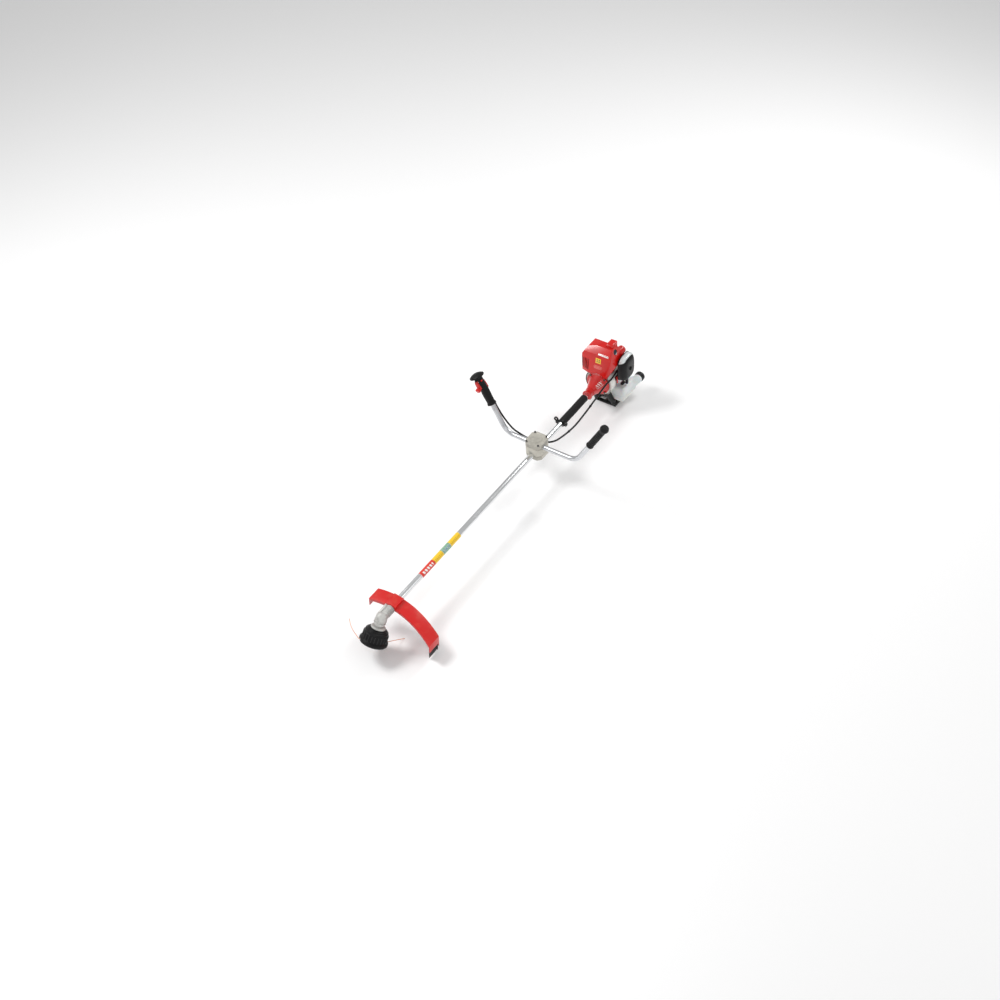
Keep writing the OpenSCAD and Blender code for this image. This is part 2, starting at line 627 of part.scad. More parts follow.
module flywheel() color("silver") {
    difference() {
        union() {
            rod_x(case_front + 7, case_front + 13, wheel_r);
            rod_x(case_front + 7, drum_x - 2, 13);
            for (i = [0 : vanes - 1]) at_shaft(case_front + 12.5) rotate([0, 0, 360 * i / vanes])
                translate([wheel_r - 22, -1.2, 0]) cube([20, 2.4, fan_w - 24]);
        }
        rod_x(case_front, fan_front + 20, journal_r);
    }
    for (a = [0, 180]) at_shaft(drum_x - 3) rotate([0, 0, a]) translate([18, 0, -30])
        cylinder(h = 44, r = 2.9, $fn = 24);
}
journal_r = 7.5;
web_r = 26;
throw = 14;
pin_crank_r = 5;
web_gap = 4.5;
chamber_r = 30;
module crankshaft() color("silver") {
    rod_x(cyl_x + web_gap, drum_x - 4, journal_r);
    rod_x(case_back - 14, cyl_x - web_gap, journal_r);
    for (x = [cyl_x + web_gap, cyl_x - web_gap - 6]) rod_x(x, x + 6, web_r);
    translate([0, 0, -throw]) rod_x(cyl_x - web_gap - 3, cyl_x + web_gap + 3, pin_crank_r);
}
deck_z = shaft_h + 44;
deck_w = 56;
sleeve_r = bore_d / 2;
module crankcase() color("#b9bab6") difference() {
    union() {
        rod_x(case_back, case_front, chamber_r + 6);
        translate([cyl_x - deck_w / 2, -deck_w / 2, shaft_h]) cube([deck_w, deck_w, deck_z - shaft_h]);
        rod_x(case_front - 8, case_front, 44);
    }
    rod_x(case_back + 6, case_front - 6, chamber_r);
    rod_x(case_back - cut, case_front + cut, journal_r + pin_gap);
    translate([cyl_x, 0, shaft_h]) cylinder(h = 80, r = sleeve_r + pin_gap);
}
rod_low = shaft_h + throw + pin_crank_r + 10;
rod_len = 46;
module connecting_rod() color("gray") difference() {
    union() {
        for (z = [[rod_low, 8.5], [rod_low + rod_len, 7]])
            translate([cyl_x, 0, z[0]]) rotate([0, 90, 0])
                cylinder(h = 7, r = z[1], center = true, $fn = 48);
        translate([cyl_x - 2, -4, rod_low + 4]) cube([4, 8, rod_len - 8]);
    }
    translate([cyl_x, 0, rod_low]) rotate([0, 90, 0])
        cylinder(h = 20, r = pin_crank_r + pin_gap, center = true);
    translate([cyl_x, 0, rod_low + rod_len]) rotate([0, 90, 0]) cylinder(h = 20, r = 4, center = true);
}
piston_h = 30;
piston_top = rod_low + rod_len + 14;
module piston() color("silver") difference() {
    union() {
        difference() {
            translate([cyl_x, 0, piston_top - piston_h]) cylinder(h = piston_h, r = sleeve_r - pin_gap);
            translate([cyl_x, 0, piston_top - piston_h - cut])
                cylinder(h = piston_h - 4, r = sleeve_r - 3.5);
        }
        translate([cyl_x, 0, rod_low + rod_len]) rotate([0, 90, 0])
            cylinder(h = 2 * sleeve_r - 4, r = 4, center = true);
    }
    for (z = [4, 8]) translate([cyl_x, 0, piston_top - z]) difference() {
        cylinder(h = 1.5, r = sleeve_r + 2);
        cylinder(h = 1.5, r = sleeve_r - 1.5);
    }
}
fin_t = 2;
fins = 9;
head_z = piston_top + 5;
module cylinder_block() difference() {
    union() {
        translate([cyl_x - deck_w / 2, -deck_w / 2, deck_z]) cube([deck_w, deck_w, 5]);
        translate([cyl_x, 0, deck_z]) cylinder(h = head_z + 8 - deck_z, r = sleeve_r + 6);
        for (i = [0 : fins - 1]) translate([cyl_x - deck_w / 2 - 2, -fin_w / 2, deck_z + 8 + 6 * i])
            cube([deck_w + 4, fin_w, fin_t]);
        translate([cyl_x - 13, sleeve_r, deck_z + 12]) cube([26, fin_w / 2 - sleeve_r + 3, 24]);
        translate([cyl_x - 13, -fin_w / 2 - 3, deck_z + 12]) cube([26, 26, 24]);
    }
    translate([cyl_x, 0, deck_z - cut]) cylinder(h = head_z - deck_z + cut, r = sleeve_r);
    translate([cyl_x, 0, head_z - cut]) cylinder(h = 20, r = 7);
    translate([cyl_x, 10, port_z]) rotate([-90, 0, 0]) cylinder(h = 60, r = 7);
    translate([cyl_x, -10, port_z]) rotate([90, 0, 0]) cylinder(h = 60, r = 8);
}
port_z = deck_z + 24;
module cylinder_fins() color("#8d8f8e") cylinder_block();
module spark_plug() color("#e8e4da") translate([cyl_x, 0, head_z]) {
    cylinder(h = 14, r = 7);
    translate([0, 0, 8]) cylinder(h = 7, r = 10, $fn = 6);
    translate([0, 0, 14]) cylinder(h = 20, r = 4.5);
}
boot_tilt = 62;
boot_lean = 25;
module along_boot() translate([cyl_x, 0, head_z + 35]) rotate([-boot_tilt, boot_lean, 0]) children();
module plug_boot() color("#15202c") difference() {
    union() {
        translate([cyl_x, 0, head_z + 15]) cylinder(h = 20, r = 9);
        along_boot() cylinder(h = 42, r = 8);
        along_boot() sphere(r = 10);
    }
    translate([cyl_x, 0, head_z + 15 - cut]) cylinder(h = 20 + cut, r = 4.5);
}
muffler_y = fin_w / 2 + 3;
module muffler() color("#a7a9a8") difference() {
    union() {
        translate([cyl_x - 26, -muffler_y - 34, deck_z + 4]) cube([52, 34, 44]);
        translate([cyl_x + 12, -muffler_y - 26, deck_z - 8]) cylinder(h = 16, r = 7);
    }
    translate([cyl_x - 23, -muffler_y - 31, deck_z + 7]) cube([46, 28, 38]);
    translate([cyl_x, -muffler_y + cut, port_z]) rotate([90, 0, 0]) cylinder(h = 6, r = 8);
    translate([cyl_x + 12, -muffler_y - 26, deck_z - 9]) cylinder(h = 22, r = 5);
}
carb_y = fin_w / 2 + 3;
carb_d = 26;
carb_x = cyl_x - 4;
module carburettor() color("#b4b0a4") difference() {
    union() {
        translate([carb_x - 18, carb_y, port_z - 16]) cube([36, carb_d, 34]);
        translate([carb_x, carb_y + 12, port_z + 18]) cylinder(h = 4, r = 9);
        translate([carb_x - 8, carb_y + 13, port_z - 20]) cylinder(h = 5, r = 11);
    }
    translate([cyl_x, carb_y - cut, port_z]) rotate([-90, 0, 0]) cylinder(h = carb_d + 2 * cut, r = 7);
    translate([carb_x, carb_y + 12, port_z + 10]) cylinder(h = 20, r = 2.5 + pin_gap, $fn = 32);
    translate([carb_x - 8, carb_y + 13, port_z - 24]) cylinder(h = 13, r = 9.6);
}
module carb_lever() color("silver") translate([carb_x, carb_y + 12, port_z + 12]) {
    cylinder(h = 18, r = 2.5, $fn = 32);
    translate([0, 0, 10 + run_gap]) cylinder(h = 2.5, r = 8);
    translate([0, -3, 10 + run_gap]) cube([19, 6, 2.5]);
}
module primer_bulb() color("#d9d4bd") translate([carb_x - 8, carb_y + 13, port_z - 16.2]) difference() {
    union() {
        translate([0, 0, -12]) cylinder(h = 12, r = 9.2);
        translate([0, 0, -12]) sphere(r = 9.2);
    }
    translate([0, 0, -12]) sphere(r = 7.5);
    translate([0, 0, -12]) cylinder(h = 14, r = 7.5);
}
filter_w = 98;
filter_h = 124;
filter_x = cyl_x - 22;
filter_z = port_z - 4;
filter_y = carb_y + carb_d;
filter_d = 34;
base_t = 5;
module filter_plan(w, h, r) hull() for (x = [-1, 1], z = [-1, 1])
    translate([x * (w / 2 - r), z * (h / 2 - r)]) circle(r, $fn = 32);
module air_filter_base() color("#20211f") difference() {
    translate([filter_x, filter_y + base_t, filter_z]) rotate([90, 0, 0]) linear_extrude(base_t)
        filter_plan(filter_w - 4, filter_h - 4, 22);
    translate([cyl_x, filter_y - cut, port_z]) rotate([-90, 0, 0]) cylinder(h = 20, r = 8);
}
module air_filter_cover() color("#131313") difference() {
    union() {
        translate([filter_x, filter_y + base_t + filter_d - 10, filter_z]) rotate([90, 0, 0])
            linear_extrude(filter_d - 10) filter_plan(filter_w, filter_h, 24);
        translate([filter_x, filter_y + base_t + filter_d - 5, filter_z]) rotate([90, 0, 0])
            linear_extrude(8) filter_plan(filter_w - 12, filter_h - 12, 20);
        translate([filter_x, filter_y + base_t + filter_d, filter_z]) rotate([90, 0, 0])
            linear_extrude(8) filter_plan(filter_w - 30, filter_h - 30, 16);
    }
    translate([filter_x, filter_y + base_t + filter_d - 14, filter_z]) rotate([90, 0, 0])
        linear_extrude(filter_d) filter_plan(filter_w - 6, filter_h - 6, 21);
}
choke_x = filter_x + filter_w / 2 - 6;
choke_z = filter_z - 40;
module choke_lever() color("#b3171b") translate([choke_x, filter_y - run_gap, choke_z]) {
    rotate([90, 0, 0]) cylinder(h = 4, r = 5);
    translate([-3, -4, -30]) cube([6, 4, 30]);
    translate([0, run_gap, 0]) rotate([90, 0, 0]) cylinder(h = 1, r = 2, $fn = 32);
}

starter_w = 32;
starter_r = 58;
starter_back = case_back - starter_w;
pulley_r = 36;
reel_r = pulley_r - 7;
rope_z = shaft_h - reel_r - 1;
module starter_housing() color("#c5160f") difference() {
    union() {
        rod_x(starter_back + 6, case_back, starter_r);
        at_shaft(starter_back) cylinder(h = 6, r1 = starter_r - 8, r2 = starter_r);
        translate([starter_back + 8, starter_r - 18, rope_z - 10]) cube([18, 24, 20]);
    }
    rod_x(starter_back + shell, case_back + cut, starter_r - shell - 6);
    rod_x(case_back - 12, case_back + cut, starter_r - shell);
    for (a = [0 : 30 : 330]) at_shaft(starter_back - cut) rotate([0, 0, a]) translate([22, -2.5, 0])
        cube([18, 5, 6]);
    translate([starter_back + 17, 0, rope_z]) rotate([-90, 0, 0]) cylinder(h = 90, r = 3.5, $fn = 32);
}
module starter_pulley() color("#1f1f1f") difference() {
    union() {
        rod_x(starter_back + 11, starter_back + 13.5, pulley_r);
        rod_x(starter_back + 13, starter_back + 21, reel_r);
        rod_x(starter_back + 20.5, starter_back + 23, pulley_r);
    }
    rod_x(starter_back + 5, case_back - 5, journal_r + pin_gap);
}
handle_y = starter_r + 8;
rope_r = 2.2;
module starter_handle() color("#181818") translate([starter_back + 17, handle_y, rope_z]) {
    rotate([-90, 0, 0]) cylinder(h = 10, r1 = 6, r2 = 9);
    translate([0, 12, 0]) rotate([90, 0, 0]) translate([0, 0, -4]) linear_extrude(9) hull()
        for (z = [-20, 20]) translate([0, z]) circle(6.5, $fn = 32);
    rotate([90, 0, 0]) cylinder(h = handle_y - 12, r = rope_r, $fn = 24);
}

// ---- fuel tank ----
tank_front = 2;
tank_low = 32;
tank_high = shaft_h - starter_r - 4;
tank_y = 12;
neck_y = 90;
neck_z = 82;
tank_back = tank_front - tank_len;
neck_end = tank_back - 20;
module tank_block(t) hull() {
    for (x = [tank_front - 16, tank_back + 18], y = [tank_y - tank_w / 2 + 18, tank_y + tank_w / 2 - 18])
        translate([x, y, tank_low + 16]) sphere(r = 16 - t, $fn = 32);
    for (x = [tank_front - 26, tank_back + 22], y = [tank_y - tank_w / 2 + 22, tank_y + tank_w / 2 - 20])
        translate([x, y, tank_high - 14]) sphere(r = 14 - t, $fn = 32);
}
module tank_horn(t) hull() {
    translate([tank_back + 34, neck_y - 26, neck_z - 16]) sphere(r = 26 - t, $fn = 32);
    translate([neck_end + 12 + t, neck_y, neck_z]) rotate([0, 90, 0])
        cylinder(h = 8, r = cap_r - 1 - t, $fn = 32);
}
module fuel_tank() color("#e9e9e6") difference() {
    union() {
        tank_block(0);
        tank_horn(0);
        translate([neck_end, neck_y, neck_z]) rotate([0, 90, 0]) cylinder(h = 16, r = cap_r - 5);
    }
    tank_block(shell);
    tank_horn(shell);
    translate([neck_end - cut, neck_y, neck_z]) rotate([0, 90, 0]) cylinder(h = 18, r = cap_r - 8);
}
cap_len = 24;
module fuel_cap() color("#101010") translate([neck_end + 10, neck_y, neck_z]) rotate([0, -90, 0])
    difference() {
    union() {
        cylinder(h = cap_len - 3, r = cap_r);
        translate([0, 0, cap_len - 3]) cylinder(h = 3, r1 = cap_r, r2 = cap_r - 3);
        for (i = [0 : 11]) rotate([0, 0, 30 * i]) translate([cap_r - 1, -2, 0]) cube([2.2, 4, cap_len - 4]);
    }
    translate([0, 0, -cut]) cylinder(h = cap_len - 8, r = cap_r - 5 + 0.3);
}

// ---- stand ----
stand_t = 8;
stand_l = 52;
stand_back = 6 - stand_l;
module engine_stand() color("#171717") difference() {
    union() {
        for (s = [-1, 1]) {
            translate([stand_back, s * (stand_w / 2 - 7) - 7, 0]) cube([stand_l, 14, stand_t]);
            hull() {
                translate([-7, s * (stand_w / 2 - 7) - 6, 0]) cube([12, 12, stand_t]);
                translate([case_front + 6, s * 34 - 8, shaft_h - fan_r - 4]) cube([20, 16, 20]);
            }
            translate([stand_back, s * 40 - 6, 0]) cube([14, 12, tank_low + 6]);
        }
        for (x = [stand_back, -8]) translate([x, -stand_w / 2 + 7, 0]) cube([14, stand_w - 14, stand_t]);
        translate([stand_back, -7, 0]) cube([stand_l, 14, stand_t]);
    }
    rod_x(case_front - 10, fan_front + 10, fan_r);
    tank_block(0);
}

// ---- top cover ----
cover_low = 44;
cover_back = -54;
cover_front = fan_front + 6;
cover_left = 70;
cover_right = 98;
module cover_plan() polygon([[cover_front, -54], [cover_front, 46], [cover_front - 8, 58],
    [cover_front - 38, cover_left], [cover_back, cover_left], [cover_back, -cover_right],
    [cover_front - 32, -cover_right], [cover_front - 9, 14 - cover_right]]);
module cover_side() polygon([[cover_front, cover_low], [cover_front, 76], [cover_front - 14, cover_h - 32],
    [cover_front - 44, cover_h - 5], [cover_front - 76, cover_h], [cover_back, cover_h - 40],
        [cover_back, cover_low]]);
module cover_face() polygon([[-cover_right, cover_low], [-cover_right, cover_h - 68], [32 - cover_right, cover_h - 14],
    [-10, cover_h], [44, cover_h], [60, cover_h - 42], [cover_left, cover_h - 82], [46, cover_low]]);
module cover_form(t) intersection() {
    translate([0, 0, shaft_h]) linear_extrude(cover_h + 10) offset(delta = -t) cover_plan();
    translate([0, 200, shaft_h]) rotate([90, 0, 0]) linear_extrude(400) offset(delta = -t) cover_side();
    translate([-200, 0, shaft_h]) rotate([90, 0, 90]) linear_extrude(400) offset(delta = -t) cover_face();
}
boss_y = 50;
boss_z = shaft_h + 128;
boss_r = 19;
module engine_cover() color("#dc120d") difference() {
    union() {
        difference() {
            cover_form(0);
            cover_form(shell);
            translate([cover_back - 20, -200, shaft_h + cover_low - cut])
                cube([cover_front - cover_back - 10, 400, 6]);
            translate([cover_back - cut, -cover_right + shell, shaft_h])
                cube([6, cover_right + cover_left - 2 * shell, boss_z - boss_r - 4 - shaft_h]);
        }
        translate([cover_back - 10, boss_y, boss_z]) rotate([0, 90, 0]) cylinder(h = 40, r = boss_r);
    }
    translate([cover_back - 20, boss_y, boss_z]) rotate([0, 90, 0]) cylinder(h = 40, r = boss_r - 5);
    rod_x(case_front - 1, fan_front + 1, fan_r + 4);
    rod_x(fan_front, cover_front + cut, flange_r + 1);
    translate([carb_x - 22, 30, shaft_h]) cube([44, 60, port_z + 36 - shaft_h]);
    for (i = [0 : 5]) translate([cover_back + 10 + 11 * i, -cover_right - 5, shaft_h + cover_low + 18])
        cube([5, 12, 46]);
    for (i = [0 : 4]) translate([cover_front - 34, 8 + 8 * i - cover_right, shaft_h + cover_low + 16])
        cube([40, 4, 56]);
    along_boot() cylinder(h = 90, r = 13);
}

// ---- screws: place and length of each, on the frames they belong to ----
module socket_screws() color("#3a3a3a") {
    for (x = bolt_x, y = [-bolt_y, bolt_y]) translate([clamp_x + x, y, cap_top]) screw(52);
    translate([hanger_x, tube_r + 8, shaft_h + 6]) screw(12);
    at_gear() translate([socket_back + 25, 0, -case_r - 4]) rotate([180, 0, 0]) screw(8);
    at_gear() for (s = [-1, 1]) translate([guard_x + strap_at, s * strap_y, -tube_r - 5])
        rotate([180, 0, 0])
        screw(tube_r + 5 + 8);
    for (a = [45 : 90 : 315]) at_shaft(fan_front + cone_flange) rotate([0, 0, a])
        translate([flange_r - 5, 0, 0]) screw(12);
}

main_tube();
shaft_bushes();
drive_shaft();
foam_sleeve();
hanger();
gear_case();
gear_bearings();
drive_pinion();
output_gear();
head_adapter();
head_housing();
line_spool();
bump_knob();
bump_spring();
cutting_line();
guard();
guard_clamp();
guard_skirt();
line_cutter();
handlebar();
clamp_base();
clamp_body();
clamp_cap();
left_grip();
grip_shell_front();
grip_shell_rear();
hand_stop();
handle_pins();
throttle_trigger();
lockout_lever();
stop_switch();
throttle_cable();
clutch_housing();
clutch_drum();
clutch_shoes();
fan_housing();
flywheel();
crankcase();
crankshaft();
connecting_rod();
piston();
cylinder_fins();  // cylinder
spark_plug();
plug_boot();
muffler();
carburettor();
carb_lever();
air_filter_base();
air_filter_cover();
choke_lever();
primer_bulb();
starter_housing();
starter_pulley();
starter_handle();
fuel_tank();
fuel_cap();
engine_stand();
engine_cover();
socket_screws();
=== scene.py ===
"""Petrol string trimmer with a bullhorn handlebar: its finished pieces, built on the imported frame."""

import json
import math

import bmesh
import bpy
from mathutils import Matrix, Vector

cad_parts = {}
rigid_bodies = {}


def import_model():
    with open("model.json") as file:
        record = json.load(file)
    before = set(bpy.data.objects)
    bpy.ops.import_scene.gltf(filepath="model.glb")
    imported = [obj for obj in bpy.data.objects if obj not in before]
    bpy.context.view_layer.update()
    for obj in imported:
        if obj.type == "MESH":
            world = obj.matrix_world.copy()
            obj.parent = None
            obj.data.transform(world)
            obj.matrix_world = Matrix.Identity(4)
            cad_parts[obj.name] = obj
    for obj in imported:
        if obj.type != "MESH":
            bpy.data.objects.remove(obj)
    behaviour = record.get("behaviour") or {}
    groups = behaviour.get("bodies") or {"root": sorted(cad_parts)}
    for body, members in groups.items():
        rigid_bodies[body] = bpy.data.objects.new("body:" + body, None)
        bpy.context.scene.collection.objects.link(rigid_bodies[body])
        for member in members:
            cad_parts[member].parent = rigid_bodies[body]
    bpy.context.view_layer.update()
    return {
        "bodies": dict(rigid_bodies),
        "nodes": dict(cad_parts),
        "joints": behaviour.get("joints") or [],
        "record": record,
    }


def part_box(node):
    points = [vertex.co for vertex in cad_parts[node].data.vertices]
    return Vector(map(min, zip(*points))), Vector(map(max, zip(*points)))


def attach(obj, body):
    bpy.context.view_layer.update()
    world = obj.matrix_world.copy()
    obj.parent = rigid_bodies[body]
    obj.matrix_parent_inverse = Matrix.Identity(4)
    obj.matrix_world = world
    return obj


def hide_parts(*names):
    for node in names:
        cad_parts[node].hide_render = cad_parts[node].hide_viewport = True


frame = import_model()

bl_info = {
    "name": "String Trimmer",
    "version": (1, 0, 0),
    "blender": (4, 5, 0),
    "location": "View3D > Sidebar > Trimmer",
    "description": "Builds the finished pieces of a petrol string trimmer around its frame",
    "category": "Add Mesh",
}

MM = 0.001


def low(node):
    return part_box(node)[0]


def high(node):
    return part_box(node)[1]


def mid(node):
    return (low(node) + high(node)) / 2


def shift(x, y, z):
    return Matrix.Translation((x, y, z))


def turn(axis, degrees):
    return Matrix.Rotation(math.radians(degrees), 4, axis)


# ---- stations: where the frame puts things, in metres ----
AXIS_Z = mid("main_tube").z
TUBE_FRONT = high("main_tube").x
TUBE_BACK = low("main_tube").x
GEAR = Vector((TUBE_FRONT + 0.028, 0, AXIS_Z))
BAR_X = TUBE_BACK + 0.450
BAR_Z = AXIS_Z + 0.038
FAN_FRONT = high("fan_housing").x
COVER_LOW, COVER_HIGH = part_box("engine_cover")
PLUG_X = mid("spark_plug").x


def along_shaft(x):
    """Frame on the tube's axis at x: local Z runs forward, local X points down."""
    return shift(x, 0, AXIS_Z) @ turn("Y", 90)


def at_gear():
    return Matrix.Translation(GEAR) @ turn("X", context_sizes("head").roll)


def on_head(k):
    """Frame on the cutting head's axis, k metres out from the gear centre."""
    return at_gear() @ turn("Y", 90 + context_sizes("head").tilt) @ shift(0, 0, k)


def bar_plane():
    return shift(BAR_X, 0, BAR_Z) @ turn("Y", -context_sizes("bar").lean)


def on_right_arm(d):
    bar = context_sizes("bar")
    return bar_plane() @ shift(0, -bar.reach_right, 0) @ turn("X", bar.flare) @ shift(0, 0, d)


def on_left_arm(d):
    bar = context_sizes("bar")
    return bar_plane() @ shift(0, bar.reach_left, 0) @ turn("X", -bar.flare) @ shift(0, 0, d)


# ---- sizes and colours a user would change ----
def length(name, text, default, low_end=0.0005, high_end=2.0):
    return bpy.props.FloatProperty(
        name=name, description=text, default=default, min=low_end, max=high_end, precision=4, unit="LENGTH"
    )


def tint(name, text, default):
    return bpy.props.FloatVectorProperty(
        name=name, description=text, default=default, size=3, min=0, max=1, subtype="COLOR"
    )


class TrimmerShaft(bpy.types.PropertyGroup):
    tube: length("Tube radius", "Outer radius of the long tube", 0.013)
    foam: length("Foam radius", "Outer radius of the foam sleeve", 0.017)
    foam_end: length("Foam edge", "Rounding of the sleeve's two ends", 0.003)
    cable: length("Cable radius", "Radius of the throttle cable's sleeve", 0.004)


class TrimmerBar(bpy.types.PropertyGroup):
    tube: length("Bar radius", "Outer radius of the handlebar tube", 0.011)
    reach_right: length("Right reach", "Distance from the tube to the right bend", 0.146)
    reach_left: length("Left reach", "Distance from the tube to the left bend", 0.200)
    bend: length("Bend radius", "Radius of the two bends", 0.068)
    arm_right: length("Right arm", "Length of the right arm from its corner", 0.262)
    arm_left: length("Left arm", "Length of the left arm from its corner", 0.272)
    flare: bpy.props.FloatProperty(name="Flare",
                                   description="Angle of the arms away from upright, in degrees",
                                   default=30)
    lean: bpy.props.FloatProperty(name="Lean", description="Lean of the bar to the rear, in degrees",
                                  default=3)
    grip: length("Grip length", "Length of the left rubber grip", 0.146)
    ribs: bpy.props.IntProperty(name="Grip ribs", description="Raised rings on the left grip", default=9,
                                min=2, max=20)
    clamp: length("Clamp length", "Length of the handlebar clamp along the tube", 0.084)
    clamp_wide: length("Clamp width", "Width of the handlebar clamp", 0.080)


class TrimmerHead(bpy.types.PropertyGroup):
    tilt: bpy.props.FloatProperty(name="Tilt", description="Angle of the head below the tube, in degrees",
                                  default=57)
    roll: bpy.props.FloatProperty(name="Roll",
                                  description="Turn of the gear case about the tube, in degrees",
                                  default=-6)
    brim: length("Brim radius", "Radius of the head's brim", 0.057)
    bell: length("Bell start", "Distance from the gear centre to the top of the bell", 0.040)
    ribs: bpy.props.IntProperty(name="Bell ribs", description="Ribs round the bell", default=24, min=4,
                                max=60)
    line: length("Line radius", "Radius of the cutting line", 0.0012)


class TrimmerEngine(bpy.types.PropertyGroup):
    edge: length("Cover edge", "Rounding of the cover's edges", 0.0055)
    wall: length("Cover wall", "Wall of the moulded cover", 0.0025)
    louvres: bpy.props.IntProperty(name="Louvres", description="Upright louvres on the cover's side",
                                   default=7, min=2, max=12)
    knurls: bpy.props.IntProperty(name="Cap ribs", description="Ribs round the fuel cap", default=18, min=6,
                                  max=40)


class TrimmerColours(bpy.types.PropertyGroup):
    red: tint("Red", "Glossy red of the cover, cone and guard", (0.62, 0.004, 0.002))
    deep_red: tint("Deep red", "Darker red of small pieces", (0.30, 0.008, 0.010))
    black: tint("Black", "Moulded black plastic", (0.004, 0.004, 0.0045))
    clamp: tint("Clamp", "Grey paint of the handlebar clamp", (0.46, 0.44, 0.385))
    cast: tint("Casting", "Cast light alloy", (0.60, 0.595, 0.57))
    tank: tint("Tank", "Milky plastic of the fuel tank", (0.80, 0.80, 0.80))
    line: tint("Line", "Cutting line", (0.80, 0.30, 0.12))
    label: tint("Label yellow", "Yellow of the labels", (0.90, 0.58, 0.02))


SIZE_GROUPS = {
    "shaft": TrimmerShaft,
    "bar": TrimmerBar,
    "head": TrimmerHead,
    "engine": TrimmerEngine,
    "colours": TrimmerColours,
}


def context_sizes(group):
    return getattr(bpy.context.scene, "trimmer_" + group)


# ---- shader maths ----
class Reading:
    """A shader value that can be added, multiplied and compared like a number."""

    def __init__(self, paint, socket):
        self.paint, self.socket = paint, socket

    def _with(self, operation, other=None, swap=False, clamp=False):
        pair = [self] if other is None else [other, self] if swap else [self, other]
        node = self.paint.node("ShaderNodeMath", {"operation": operation, "use_clamp": clamp},
                               dict(enumerate(pair)))
        return Reading(self.paint, node.outputs[0])

    def __add__(self, other):
        return self._with("ADD", other)

    def __radd__(self, other):
        return self._with("ADD", other, True)

    def __sub__(self, other):
        return self._with("SUBTRACT", other)

    def __rsub__(self, other):
        return self._with("SUBTRACT", other, True)

    def __mul__(self, other):
        return self._with("MULTIPLY", other)

    def __rmul__(self, other):
        return self._with("MULTIPLY", other, True)

    def __truediv__(self, other):
        return self._with("DIVIDE", other)

    def __rtruediv__(self, other):
        return self._with("DIVIDE", other, True)

    def __gt__(self, other):
        return self._with("GREATER_THAN", other)

    def __lt__(self, other):
        return self._with("LESS_THAN", other)

    def __abs__(self):
        return self._with("ABSOLUTE")

    def fraction(self):
        return self._with("FRACT")

    def clamped(self):
        return self._with("ADD", 0.0, clamp=True)

    def angle_from(self, other):
        return self._with("ARCTAN2", other)

    def ramp(self, start, end, low_value=0.0, high_value=1.0):
        """Smooth change from low_value to high_value as the reading goes from start to end."""
        node = self.paint.node(
            "ShaderNodeMapRange",
            {"interpolation_type": "SMOOTHSTEP"},
            {"Value": self, "From Min": start, "From Max": end, "To Min": low_value, "To Max": high_value},
        )
        return Reading(self.paint, node.outputs[0])

    def inside(self, start, end, soft=0.0003):
        """One between start and end, and nothing outside."""
        return self.ramp(start - soft, start + soft) * self.ramp(end - soft, end + soft, 1.0, 0.0)


